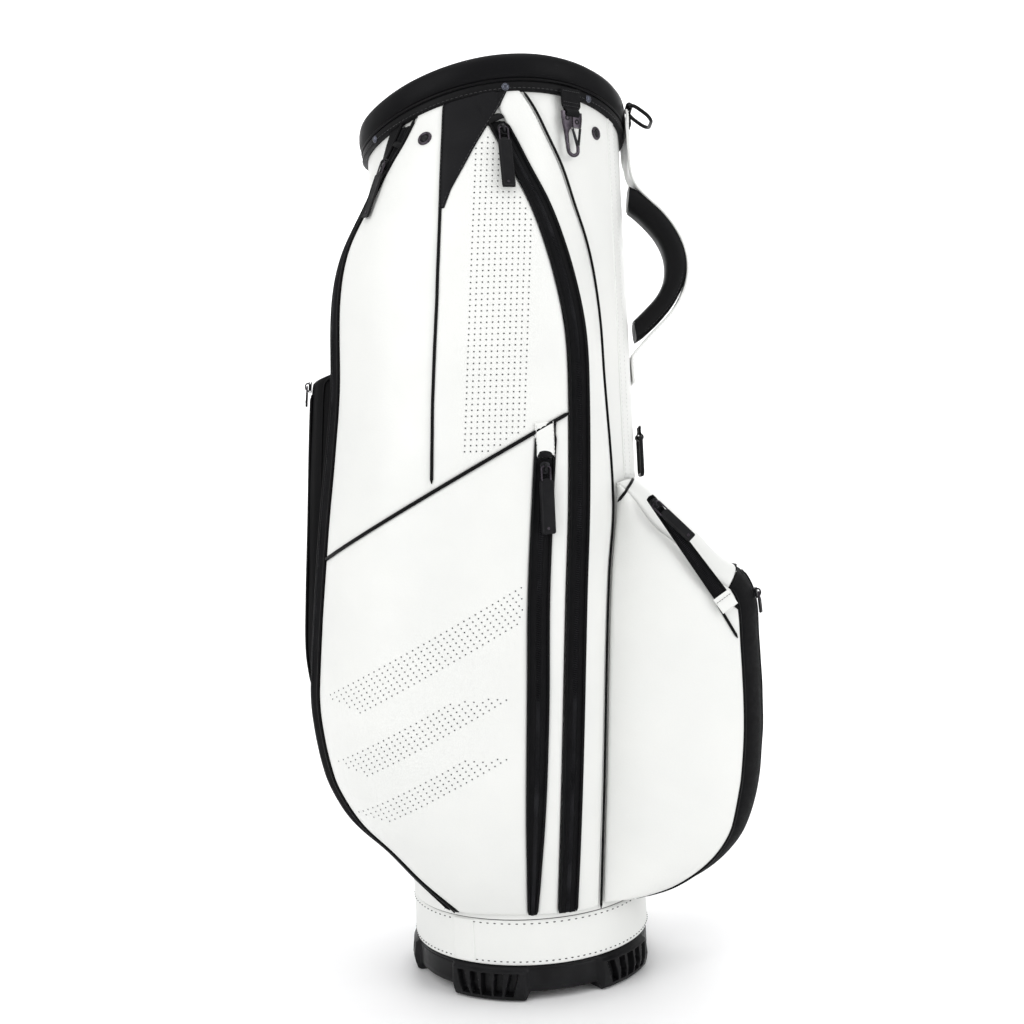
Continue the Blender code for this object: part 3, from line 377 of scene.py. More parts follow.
def turned_at(heap, o, out, levels, n=20):
    """Small turned part (rivet, stud, washer): levels are (radius, height) along `out`."""
    out = unit(out)
    side = unit(np.cross((0, 0, 1.0), out))
    up = np.cross(out, side)
    a = 2 * math.pi * np.arange(n) / n
    ring = np.cos(a)[:, None] * side + np.sin(a)[:, None] * up
    return heap.add(*skin([o + ring * r + out * h for r, h in levels]))


def stitches(heap, p, n, pitch, length, r=0.00035, lift=0.0003, slant=0.0):
    """Thread showing as short raised dashes along a line; n is the surface normal there."""
    run = np.concatenate([[0], np.cumsum(np.linalg.norm(np.diff(p, axis=0), axis=1))])
    at = np.linspace(0, run[-1], max(2, int(round(run[-1] / pitch)) + 1))
    q = np.stack([np.interp(at, run, p[:, k]) for k in range(3)], axis=-1)
    m = unit(np.stack([np.interp(at, run, n[:, k]) for k in range(3)], axis=-1))
    t = unit(np.gradient(q, axis=0))
    side = np.cross(t, m)
    t = unit(t + side * slant)
    a = 2 * math.pi * np.arange(6) / 6
    for k in range(len(q)):
        s = np.array([-0.5, -0.32, 0.0, 0.32, 0.5]) * length
        h = np.array([-0.0002, 0.0, 1.0 * lift, 0.0, -0.0002])
        rr = np.array([0.35, 0.9, 1.0, 0.9, 0.35]) * r
        c = q[k] + s[:, None] * t[k] + h[:, None] * m[k]
        loops = c[:, None] + rr[:, None, None] * (
            np.cos(a)[None, :, None] * np.cross(t[k], m[k]) + np.sin(a)[None, :, None] * m[k])
        heap.add(*skin(loops))
    return heap


def dots(heap, p, n, r):
    """Punched holes: dark dished discs flush with the surface; their grey is the backing seen through each
    hole and painted shade of the hollow that is not cut.
    """
    a = 2 * math.pi * np.arange(8) / 8
    for q, m in zip(p, n):
        side = unit(np.cross(m, (0, 0, 1.0)))
        up = np.cross(side, m)
        ring = np.cos(a)[:, None] * side + np.sin(a)[:, None] * up
        v = np.concatenate([q + ring * r + m * 0.00032, q + ring * r * 0.82 + m * 0.00016,
                            [q + m * 0.0001]])
        f = [(i, (i + 1) % 8, 8 + (i + 1) % 8, 8 + i) for i in range(8)]
        f += [(8 + i, 8 + (i + 1) % 8, 16) for i in range(8)]
        heap.add(v, f)
    return heap


def mirror(p):
    """The same points on the far side."""
    return p * (1, -1, 1)


class Skin:
    """Finished surface of some pieces, for laying holes, piping and trims on it."""

    def __init__(self, *names):
        verts, faces = [], []
        for name in names:
            mesh = bpy.data.objects[name].data
            n = len(verts)
            verts += [(v.co.x - TX, v.co.y, v.co.z) for v in mesh.vertices]
            faces += [[i + n for i in f.vertices] for f in mesh.polygons]
        self.tree = BVHTree.FromPolygons(verts, faces)

    def lay(self, p, n, lift=0.0):
        p, n = np.asarray(p, float), np.broadcast_to(n, np.shape(p))
        out = p.copy().reshape(-1, 3)
        for k, (q, m) in enumerate(zip(p.reshape(-1, 3), n.reshape(-1, 3))):
            hit = self.tree.ray_cast((q + m * 0.010).tolist(), (-m).tolist(), 0.022)[0]
            if hit is not None:
                out[k] = hit
        return out.reshape(p.shape) + n * lift


# ---- materials --------------------------------------------------------------------
class Nodes:
    """Short way to build a procedural material."""

    def __init__(self, name, rough=0.5, metal=0.0, **fixed):
        self.mat = bpy.data.materials.new(name)
        self.mat.use_nodes = True
        self.tree = self.mat.node_tree
        self.bsdf = self.tree.nodes["Principled BSDF"]
        self.bsdf.inputs["Roughness"].default_value = rough
        self.bsdf.inputs["Metallic"].default_value = metal
        for key, value in fixed.items():
            self.bsdf.inputs[key.replace("_", " ")].default_value = value
        self.place = self.tree.nodes.new("ShaderNodeTexCoord").outputs["Object"]

    def node(self, kind, settings=(), **sockets):
        nd = self.tree.nodes.new(kind)
        for key, value in settings:
            setattr(nd, key, value)
        for key, value in sockets.items():
            key = key.replace("_", " ")
            if isinstance(value, bpy.types.NodeSocket):
                self.tree.links.new(value, nd.inputs[key])
            else:
                nd.inputs[key].default_value = value
        return nd

    def noise(self, scale, detail=3.0, rough=0.5, stretch=None):
        place = self.place
        if stretch is not None:
            place = self.node("ShaderNodeMapping", Vector=place, Scale=stretch).outputs[0]
        return self.node("ShaderNodeTexNoise", Vector=place, Scale=scale, Detail=detail,
                         Roughness=rough).outputs[0]

    def cells(self, scale, feature="F1"):
        return self.node("ShaderNodeTexVoronoi", [("feature", feature)], Vector=self.place,
                         Scale=scale).outputs["Distance"]

    def span(self, value, a, b, lo=0.0, hi=1.0):
        nd = self.node("ShaderNodeMapRange", Value=value)
        for i, v in enumerate((lo, hi, a, b)):
            nd.inputs[1 + i].default_value = v
        return nd.outputs[0]

    def math(self, op, a, b=0.0):
        nd = self.tree.nodes.new("ShaderNodeMath")
        nd.operation = op
        for k, v in enumerate((a, b)):
            if isinstance(v, bpy.types.NodeSocket):
                self.tree.links.new(v, nd.inputs[k])
            else:
                nd.inputs[k].default_value = v
        return nd.outputs[0]

    def colour(self, value, stops):
        nd = self.tree.nodes.new("ShaderNodeValToRGB")
        self.tree.links.new(value, nd.inputs[0])
        ramp = nd.color_ramp
        while len(ramp.elements) < len(stops):
            ramp.elements.new(0.5)
        for el, (at, col) in zip(ramp.elements, stops):
            el.position, el.color = at, (*col, 1.0)
        self.tree.links.new(nd.outputs[0], self.bsdf.inputs["Base Color"])
        return self

    def rough(self, value):
        self.tree.links.new(value, self.bsdf.inputs["Roughness"])
        return self

    def bump(self, *layers):
        """Layers are (height socket, metres of relief, strength)."""
        last = None
        for value, distance, strength in layers:
            nd = self.node("ShaderNodeBump", Height=value, Distance=distance, Strength=strength)
            if last is not None:
                self.tree.links.new(last, nd.inputs["Normal"])
            last = nd.outputs[0]
        self.tree.links.new(last, self.bsdf.inputs["Normal"])
        return self


def leather(name, dark, light, rough, grain=1.0, scale=520.0, **fixed):
    """Fine pebbled leather-cloth with patches of slightly different gloss."""
    k = Nodes(name, **fixed)
    broad, fine = k.noise(9.0, 3.0), k.noise(1400.0, 2.0)
    k.colour(k.math("ADD", k.math("MULTIPLY", broad, 0.7), k.math("MULTIPLY", fine, 0.3)),
             [(0.30, dark), (0.62, light)])
    k.rough(k.span(k.noise(42.0, 4.0), rough - 0.06, rough + 0.07, 0.3, 0.7))
    k.bump((k.cells(scale), 0.00012 * grain, 0.35), (k.noise(scale * 2.4, 3.0), 0.00006 * grain, 0.3),
           (k.noise(55.0, 2.0), 0.0006, 0.10))
    return k.mat


def woven(name, dark, light, rough, thread=0.0007, slant=0.0, sheen=0.02, relief=0.00018):
    """Plain weave in three directions, so it needs no unwrapping."""
    k = Nodes(name, Sheen_Weight=sheen, Sheen_Roughness=0.5, Specular_IOR_Level=0.08)
    turn = k.node("ShaderNodeMapping", Vector=k.place, Rotation=(0.0, slant, 0.0)).outputs[0]
    part = k.node("ShaderNodeSeparateXYZ", Vector=turn)
    waves = []
    for axis in "XYZ":
        phase = k.math("MULTIPLY", part.outputs[axis], math.pi / thread)
        waves.append(k.math("SINE", phase))
    weave = k.math("MULTIPLY", k.math("ADD", waves[0], waves[1]), waves[2])
    weave = k.span(weave, 0.0, 1.0, -1.6, 1.6)
    mix = k.math("ADD", k.math("MULTIPLY", weave, 0.6), k.math("MULTIPLY", k.noise(60.0), 0.4))
    k.colour(mix, [(0.25, dark), (0.75, light)])
    k.rough(k.span(k.noise(180.0, 3.0), rough - 0.06, rough + 0.08, 0.3, 0.7))
    k.bump((weave, relief, 0.6), (k.noise(900.0, 2.0), 0.00008, 0.3))
    return k.mat


def metal(name, dark, light, rough, amount=1.0, **fixed):
    """Metal whose gloss and colour vary a little."""
    k = Nodes(name, metal=amount, **fixed)
    k.colour(k.noise(70.0, 4.0, 0.6), [(0.35, dark), (0.65, light)])
    k.rough(k.span(k.noise(230.0, 4.0, 0.65), rough - 0.05, rough + 0.09, 0.3, 0.7))
    k.bump((k.noise(520.0, 3.0), 0.00003, 0.25),)
    return k.mat


def plastic(name, dark, light, rough, **fixed):
    """Moulded plastic with a fine grain."""
    k = Nodes(name, **fixed)
    k.colour(k.noise(35.0, 4.0), [(0.35, dark), (0.65, light)])
    k.rough(k.span(k.noise(120.0, 4.0), rough - 0.06, rough + 0.08, 0.3, 0.7))
    k.bump((k.noise(1700.0, 2.0), 0.00005, 0.35), (k.noise(60.0, 2.0), 0.0003, 0.08))
    return k.mat


def thread_mat(name, dark, light):
    """Twisted sewing thread."""
    k = Nodes(name, Sheen_Weight=0.2)
    twist = k.noise(2600.0, 1.0, 0.5, (1.0, 1.0, 2.0))
    k.colour(twist, [(0.3, dark), (0.7, light)])
    k.rough(k.span(k.noise(300.0), 0.55, 0.75, 0.3, 0.7))
    k.bump((twist, 0.00008, 0.4),)
    return k.mat


WHITE = leather("white_leathercloth", (0.752, 0.760, 0.742), (0.800, 0.806, 0.784), 0.40)
LOW = {"Specular_IOR_Level": 0.08}
BLACK = leather("black_leathercloth", (0.0035, 0.0035, 0.004), (0.0075, 0.0075, 0.008), 0.45, 1.3, **LOW)
ROLL = leather("black_collar_leathercloth", (0.0025, 0.0025, 0.003), (0.0052, 0.0052, 0.0060), 0.42,
               0.8, Specular_IOR_Level=0.075)
PATCH = leather("black_flash_leathercloth", (0.006, 0.006, 0.007), (0.011, 0.011, 0.012), 0.48, 1.2,
                **LOW)
PIPING = leather("black_piping", (0.002, 0.002, 0.0024), (0.0050, 0.0050, 0.0055), 0.42, 0.5, **LOW)
TAPE = woven("zip_tape_weave", (0.0025, 0.0025, 0.003), (0.0080, 0.0080, 0.0088), 0.72, 0.00050, 0.6)
COIL = plastic("zip_coil_nylon", (0.006, 0.006, 0.007), (0.015, 0.015, 0.017), 0.45, **LOW)
CLOTH = woven("black_nylon_webbing", (0.003, 0.003, 0.0035), (0.011, 0.011, 0.012), 0.68, 0.0009, 0.0)
LINING = woven("divider_cloth", (0.022, 0.022, 0.024), (0.045, 0.045, 0.049), 0.80, 0.0006, 0.3, 0.15)
FRAME = woven("divider_frame_plush", (0.008, 0.008, 0.009), (0.020, 0.020, 0.022), 0.85, 0.0011, 0.4,
              0.2, 0.0003)
GREY = plastic("inner_tube_grey", (0.15, 0.15, 0.155), (0.22, 0.22, 0.225), 0.60)
MOULD = plastic("moulded_black", (0.004, 0.004, 0.0045), (0.009, 0.009, 0.010), 0.38,
                Specular_IOR_Level=0.14)
GUN = metal("gunmetal", (0.034, 0.029, 0.036), (0.085, 0.074, 0.088), 0.26)
DARK = metal("black_plated_metal", (0.008, 0.008, 0.009), (0.024, 0.024, 0.027), 0.33, 0.75)
NICKEL = metal("dark_nickel", (0.060, 0.064, 0.082), (0.110, 0.116, 0.142), 0.24)
PULL = plastic("pull_rubber", (0.005, 0.005, 0.006), (0.011, 0.011, 0.012), 0.42,
               Specular_IOR_Level=0.14)
THREAD = thread_mat("white_thread", (0.62, 0.62, 0.61), (0.80, 0.80, 0.79))
DARK_THREAD = thread_mat("charcoal_thread", (0.010, 0.010, 0.011), (0.032, 0.032, 0.035))
BLACK_THREAD = thread_mat("black_thread", (0.006, 0.006, 0.007), (0.018, 0.018, 0.020))
# Punched holes: grey that is the backing seen through each hole and painted shade of its uncut hollow.
HOLE_BACKING_AND_SHADE = plastic("punched_hole", (0.055, 0.055, 0.060), (0.095, 0.095, 0.100), 0.80)


# ---- trunk ------------------------------------------------------------------------
def trunk():
    """White trunk skin and the inner tube behind it."""
    az = np.linspace(0, 2 * math.pi, 180, endpoint=False)[:, None]
    v = np.linspace(0, 1, 120)[None]
    high = rim(az) - COLLAR_H - 0.0006
    z = TRUNK_LOW + (high - TRUNK_LOW) * v
    p = polar(az, trunk_r(z), z)
    n = outward(p, grid_normals(p, True))
    p = p + n * (0.0005 * wobble(p, 0.16, 3))[..., None]
    shell(Heap(), p, n, 0.0020, True).done("trunk_skin_sewn", WHITE, "white_leathercloth",
                                           nodes=["trunk_skin"])
    low = BASE_TOP + 0.0006
    v = np.linspace(0, 1, 60)[None]
    z = low + (high - low) * v
    p = polar(az, trunk_r(z) - 0.0043, z)
    n = outward(p, grid_normals(p, True))
    shell(Heap(), p, n, 0.0020, True).done("trunk_tube", GREY, "inner_grey", nodes=["trunk_liner"])


trunk()


def trunk_tapes():
    """Overlapped seams down the trunk, one beside the handle on each side and one behind."""
    cover, thread = Heap(), Heap()
    for az0, az1, z0, z1 in ((60.0, 67.0, 0.490, 0.848), (113.0, 120.0, 0.490, 0.846),
                             (236.0, 243.0, 0.086, 0.8415)):
        u = math.radians(az0) + (math.radians(az1 - az0)) * ends_dense(5, 0.016, 0.0016)[:, None]
        z = np.linspace(z0, z1, 90)[None]
        p = polar(u, trunk_r(z) + 0.0011, z)
        n = outward(p, grid_normals(p))
        p = p + n * roll_edge(border(p), 0.0009, 0.0014)[..., None]
        shell(cover, p, n, 0.0016)
        for a in (az0 + 0.9, az1 - 0.9):
            zz = np.linspace(z0 + 0.004, z1 - 0.003, 120)
            q = polar(math.radians(a), trunk_r(zz) + 0.0011, zz)
            stitches(thread, q, unit(q * (1, 1, 0)), 0.0042, 0.0029, 0.00030)
    cover.done("trunk_seam_tapes", WHITE, "white_leathercloth")
    thread.done("trunk_seam_thread", THREAD, "white_leathercloth")


trunk_tapes()


# ---- base -------------------------------------------------------------------------
def foot_amount(az, soft=3.0):
    """How much of a foot stands at azimuth az, and the angle from that foot's middle."""
    step = 2 * math.pi / 5
    d = (az - FOOT_FIRST + step / 2) % step - step / 2
    return ease((FOOT_HALF - np.abs(d)) / math.radians(soft) + 0.5), d


def window(d, z, lo, hi, z0, z1, lean):
    """1 inside a slot of the foot between arc positions lo and hi (metres), soft edged."""
    arc = d * 0.124 - lean * (z - 0.016)
    a = np.minimum(arc - lo, hi - arc)
    b = np.minimum(z - z0, z1 - z)
    return ease(np.minimum(a, b) / 0.0010 + 0.5)


def base():
    """Moulded base with its ribbed feet."""
    n = 900
    az = 2 * math.pi * np.arange(n)[:, None] / n
    foot, d = foot_amount(az)
    low = FOOT_LIFT * (1 - foot)
    v = np.linspace(0, 1, 44)[None]
    z = low + (BASE_TOP - 0.0002 - low) * v
    profile_z = (0.0, 0.0020, 0.0080, 0.0140, 0.0280, 0.0323, BASE_TOP)
    plain = np.interp(z, profile_z, (0.1134, 0.1158, 0.1172, BASE_R, BASE_R, BASE_R, 0.1168))
    full = np.interp(z, profile_z, (0.1170, 0.1212, 0.1232, 0.1243, 0.1229, BASE_R, 0.1168))
    r = plain + (full - plain) * foot
    cut = np.zeros_like(r)
    for lo, hi, lean in ((-0.0290, -0.0215, -0.28), (-0.0160, -0.0085, -0.10),
                         (-0.0045, 0.0045, 0.0), (0.0085, 0.0160, 0.10), (0.0215, 0.0290, 0.28)):
        cut = np.maximum(cut, window(d, z, lo, hi, 0.0060, 0.0265, lean))
    r = r - 0.0062 * cut * foot
    groove = np.exp(-((z - 0.0300) / 0.0007) ** 2)
    r = r - 0.0006 * groove
    outer = polar(az, r, z)
    inner = ((0.1112, BASE_TOP), (0.1112, 0.0990), (0.1104, 0.1000), (0.1090, 0.1000),
             (0.1082, 0.0990), (0.1076, 0.0230), (0.1062, 0.0196), (0.1030, 0.0180),
             (0.0300, 0.0172), (0.0292, 0.0168), (0.0292, 0.0124), (0.0300, 0.0120),
             (0.0780, 0.0120))
    rows = [outer, *(polar(az, a, np.full_like(az, b)) for a, b in inner),
            polar(az, 0.0850, low), polar(az, 0.1080, low), polar(az, 0.1112 + 0.004 * foot, low)]
    p = np.concatenate(rows, axis=1)
    nv = p.shape[1]
    heap = Heap()
    faces = grid_faces(n, nv, True, True)
    a = np.arange(n)
    b = (a + 1) % n
    close = np.stack([a * nv + nv - 1, a * nv, b * nv, b * nv + nv - 1], axis=-1)
    hub = 44 + 9
    keep = faces.tolist() + close[:, ::-1].tolist()
    keep = [f for f in keep if not (f[0] % nv in (hub, hub + 1) and f[1] % nv in (hub, hub + 1)
                                    and f[2] % nv in (hub, hub + 1))]
    keep.append(tuple(a * nv + hub))
    keep.append(tuple((a * nv + hub + 1)[::-1]))
    heap.add(p, keep)
    ob = heap.done("base_moulding", MOULD, "moulded_black", nodes=["base_cup"], sharp=32.0)
    return ob


base()


def band():
    """White sewn band above the base, its overlaps and its stitching."""
    az = 2 * math.pi * np.arange(240)[:, None] / 240
    v = ends_dense(12, 0.042, 0.0035)[None]
    z = BASE_TOP + 0.0006 + (BAND_TOP - BASE_TOP - 0.0006) * v
    d = np.minimum(z - BASE_TOP - 0.0006, BAND_TOP - z)
    r = 0.1197 + roll_edge(d, 0.0012, 0.0030) + 0 * az
    p = polar(az, r, z + 0 * az)
    p = p + unit(p * (1, 1, 0)) * (0.00025 * wobble(p, 0.08, 11) * np.clip(d / 0.01, 0, 1))[..., None]
    n = outward(p, grid_normals(p, True))
    shell(Heap(), p, n, 0.0024, True).done("base_band_sewn", WHITE, "white_leathercloth",
                                           nodes=["base_band"])
    over = Heap()
    for deg in (-39.0, 141.0):
        u = math.radians(deg) + ends_dense(5, 0.024, 0.002)[:, None] * math.radians(11.5)
        zz = BASE_TOP + 0.0012 + (BAND_TOP - BASE_TOP - 0.0020) * ends_dense(10, 0.042, 0.003)[None]
        dz = np.minimum(zz - BASE_TOP - 0.0012, BAND_TOP - 0.0008 - zz)
        p = polar(u, 0.1206 + roll_edge(dz, 0.0010, 0.0026) + 0 * u, zz + 0 * u)
        n = outward(p, grid_normals(p))
        p = p + n * roll_edge(border(p, "u"), 0.0009, 0.0012)[..., None]
        shell(over, p, n, 0.0010)
    over.done("base_band_laps", WHITE, "white_leathercloth")
    thread = Heap()
    ring = np.linspace(0, 2 * math.pi, 400)
    for z, r, pitch, size in ((BAND_TOP - 0.0030, 0.11975, 0.0072, 0.0026),
                              (BASE_TOP + 0.0042, 0.11980, 0.0062, 0.0024)):
        q = polar(ring, r, z)
        stitches(thread, q, unit(q * (1, 1, 0)), pitch, size, 0.00052, 0.0002)
    thread.done("base_band_thread", DARK_THREAD, "white_leathercloth")


band()


# ---- collar and mouth -------------------------------------------------------------
def collar():
    """Padded collar roll and the welted band under it."""
    n, m = 300, 40
    az = 2 * math.pi * np.arange(n)[:, None] / n
    a = 2 * math.pi * (np.arange(m) + 0.5)[None] / m
    c, s = np.cos(a), np.sin(a)
    mid, half, tall = (COLLAR_OUT + COLLAR_IN) / 2, (COLLAR_OUT - COLLAR_IN) / 2, COLLAR_H / 2
    top = rim(az)
    full = 1.0 + 0.05 * np.sin(az * 3 + 0.7) * np.sin(az * 5)
    r = mid + half * np.sign(c) * np.abs(c) ** 0.74 * full
    z = top - tall + tall * np.sign(s) * np.abs(s) ** 0.78 * 0.98 + 0 * r
    p = polar(az + 0 * a, r, z)
    p = p + unit(p * (1, 1, 0)) * (0.0003 * wobble(p, 0.05, 21))[..., None]
    heap = Heap()
    heap.add(*skin(p, closed=True))
    ob = heap.done("collar_roll", ROLL, "black_leathercloth", nodes=["collar_pad"], sharp=70)
    profile = ((0.0004, 0.0), (0.0030, 0.0001), (0.0044, 0.0007), (0.0052, 0.0020), (0.0055, 0.0045),
               (0.0055, 0.0070), (0.0050, 0.0085), (0.0040, 0.0093), (0.0004, 0.0095))
    loops = []
    for k in range(n):
        w = 2 * math.pi * k / n
        loops.append([polar(w, TRUNK_R + dr, lip_low(w) + dz) for dr, dz in profile])
    ob = Heap().add(*skin(loops, closed=True)).done("collar_lip_band", BLACK, "black_leathercloth",
                                                    nodes=["collar_lip"], sharp=60)
    ring = np.linspace(0, 2 * math.pi, 500)
    q = polar(ring, TRUNK_R + 0.0054, lip_low(ring) + 0.0022)
    stitches(Heap(), q, unit(q * (1, 1, 0)), 0.0046, 0.0031, 0.00032).done(
        "collar_lip_thread", BLACK_THREAD, "black_leathercloth")
    q = polar(ring, TRUNK_R + 0.0052, lip_low(ring) + 0.0102)
    tube(Heap(), q[:-1], 0.0014, 8, closed=True, up=None).done("collar_piping", PIPING,
                                                             "black_leathercloth")


collar()


def divider():
    """Six-way divider: the padded frame and the cloth walls hung from it."""
    heap = Heap()
    mid = FRAME_Z + FRAME_H / 2
    ring = np.linspace(0, 2 * math.pi, 160, endpoint=False)
    section = rounded(0.0078, 0.0136, 0.0034, 4)
    loops = [[polar(w, 0.1170 + a, mid + b) for a, b in section] for w in ring]
    heap.add(*skin(loops, closed=True))
    section = rounded(0.0088, 0.0132, 0.0036, 4)
    bars = [((-0.1150, 0.0), (0.1150, 0.0))]
    for x in (-BAR_X, BAR_X):
        y = math.sqrt(0.1160 ** 2 - x * x)
        bars.append(((x, -y), (x, y)))
    for (x0, y0), (x1, y1) in bars:
        along_bar = np.linspace(0, 1, 40)
        cx, cy = x0 + (x1 - x0) * along_bar, y0 + (y1 - y0) * along_bar
        sag = -0.0008 * np.sin(math.pi * along_bar) - (0.0002 if y0 else 0.0)
        d = unit((x1 - x0, y1 - y0, 0.0))
        side = np.array([-d[1], d[0], 0.0])
        loops = [np.array([cx[k], cy[k], mid + sag[k]]) + section[:, :1] * side
                 + section[:, 1:] * (0, 0, 1) for k in range(40)]
        heap.add(*skin(loops))
    ob = heap.done("divider_padded_frame", FRAME, "moulded_black", nodes=["divider_frame"], sharp=60)
    low, high = 0.1040, FRAME_Z - 0.0012
    walls = Heap()

    def wall(x0, y0, x1, y1, seed):
        u = np.linspace(0, 1, 60)[:, None]
        z = np.linspace(low, high, 60)[None]
        d = unit((x1 - x0, y1 - y0, 0.0))
        side = np.array([-d[1], d[0], 0.0])
        p = stack(x0 + (x1 - x0) * u, y0 + (y1 - y0) * u, z)
        fall = np.sin(math.pi * (z - low) / (high - low)) * np.sin(math.pi * u) ** 0.7
        sway = 0.0016 * np.sin(7 * u + seed) * fall + 0.0010 * wobble(p, 0.09, seed) * fall
        p = p + side * sway[..., None]
        shell(walls, p, np.broadcast_to(side, p.shape), 0.0009)
    wall(-0.1095, 0.0, 0.1095, 0.0, 1)
    for k, x in enumerate((-BAR_X, BAR_X)):
        wall(x, -0.1015, x, -0.0010, 3 + k)
        wall(x, 0.0010, x, 0.1015, 5 + k)
    ob = walls.done("divider_cloth_walls", LINING, "black_cloth", nodes=["divider_walls"])


divider()


# ---- near apparel pocket: surfaces ------------------------------------------------
def near_edge(z):
    return stack(along(EDGE_X, z), along(EDGE_Y, z), z)


def near_zip(z, side):
    return stack(along(FRONT_X, z) + side * ZIP_HALF,
                 along(FRONT_Y, z) + (0.0030 if side > 0 else -0.0010), z)


def tuck(p, proud=0.0):
    """Near the collar everything is drawn in under the lip."""
    x, y, z = p[..., 0], p[..., 1], p[..., 2]
    r = np.hypot(x, y)
    k = ease((z - 0.800) / 0.044)
    want = r + (np.minimum(r, TRUNK_R + 0.0034 + proud) - r) * k
    return np.stack([x * want / r, y * want / r, z], axis=-1)


def near_panel(t, z):
    a, b = near_edge(z), near_zip(z, -1)
    belly = along(BELLY_Y, z)
    w = b[..., 0] - a[..., 0]
    c1 = stack(a[..., 0] + 0.16 * w, belly * 0.94, z)
    c2 = stack(a[..., 0] + 0.62 * w, belly, z)
    return tuck(bezier(a, c1, c2, b, t))


def welt(z, shift=0.0):
    r = trunk_r(z)
    return polar(np.arcsin(along(WELT_X, z) / r) + math.radians(shift), r + LIFT, z)


def near_strip(t, z):
    a, b = near_zip(z, 1), welt(z, -1.4)
    bulge = np.cross(b - a, (0.0, 0.0, -1.0)) * -0.16
    mid = a * 0.5 + b * 0.5 + bulge
    t = np.asarray(t)[..., None]
    return tuck(a * (1 - t) ** 2 + 2 * mid * t * (1 - t) + b * t * t)


def near_gusset(t, z):
    a = near_edge(z)
    deep = ease((np.hypot(a[..., 0], a[..., 1]) - trunk_r(z) - LIFT) / 0.060)
    r, az = np.hypot(a[..., 0], a[..., 1]), np.arctan2(a[..., 0], -a[..., 1])
    turn = np.radians(2.0 + np.where(z > 0.5, 12.0, 7.0) * (1 - deep))
    low = trunk_r(z) + LIFT
    foot = polar(az - turn, low, z)
    k = deep[..., None]
    c1 = polar(az - 0.42 * turn, r, z) * (1 - k) + (a + (-0.018, 0.012, 0)) * k
    c2 = polar(az - 0.95 * turn, 0.6 * r + 0.4 * low, z) * (1 - k) + (a + (-0.020, 0.040, 0)) * k
    return tuck(bezier(a, c1, c2, foot, t))


def at_x(x, z):
    lo, hi = np.zeros(np.broadcast(x, z).shape), np.ones(np.broadcast(x, z).shape)
    for _ in range(24):
        mid = (lo + hi) / 2
        less = near_panel(mid, z)[..., 0] < x
        lo, hi = np.where(less, mid, lo), np.where(less, hi, mid)
    return (lo + hi) / 2


def sash(t):
    z = np.full(np.shape(t), SASH_Z)
    for _ in range(25):
        z = 0.5 * z + 0.5 * (SASH_Z + SASH_SLOPE * near_panel(t, z)[..., 0])
    return z


def near_top(t, fn):
    """Height where the surface line t meets the lip."""
    z = np.full(np.shape(t), 0.85)
    for _ in range(4):
        p = fn(t, z)
        z = lip_low(np.arctan2(p[..., 0], -p[..., 1])) + 0.0012
    return z


def flash_line(z):
    """x of the piping that runs down the panel from the flash."""
    return np.interp(z, (0.487, 0.568, 0.659, 0.750, 0.832, 0.86),
                     (-0.0710, -0.0660, -0.0580, -0.0510, -0.0450, -0.0425))


def near_mid_zip(u, z):
    tb = at_x(along(MID_ZIP_X, z), z)
    return near_panel(tb + np.asarray(u) * ZIP_HALF / 0.27, z)


def lower_point(t, v, side):
    half = ZIP_HALF / 0.27
    z = NEAR_LOW + (SASH_Z - 0.05 - NEAR_LOW) * v
    for _ in range(2):
        tb = at_x(along(MID_ZIP_X, z), z)
        tt = (0.004 + (tb - half - 0.007) * t if side < 0
              else tb + half + 0.003 + (0.989 - tb - half) * t)
        tt = np.minimum(tt, 0.994)
        z = NEAR_LOW + (sash(tt) - 0.0009 - NEAR_LOW) * v
    return near_panel(tt, z)


def near_front_zip(u, z):
    a, b = near_zip(z, -1), near_zip(z, 1)
    u = np.asarray(u)[..., None]
    return tuck(a * (1 - u) + b * u)


def near_normal(p_of, t, z, e=0.004):
    a = p_of(t + e, z) - p_of(t - e, z)
    b = p_of(t, z + 0.002) - p_of(t, z - 0.002)
    n = unit(np.cross(a, b))
    p = p_of(t, z)
    return p, outward(p, n)


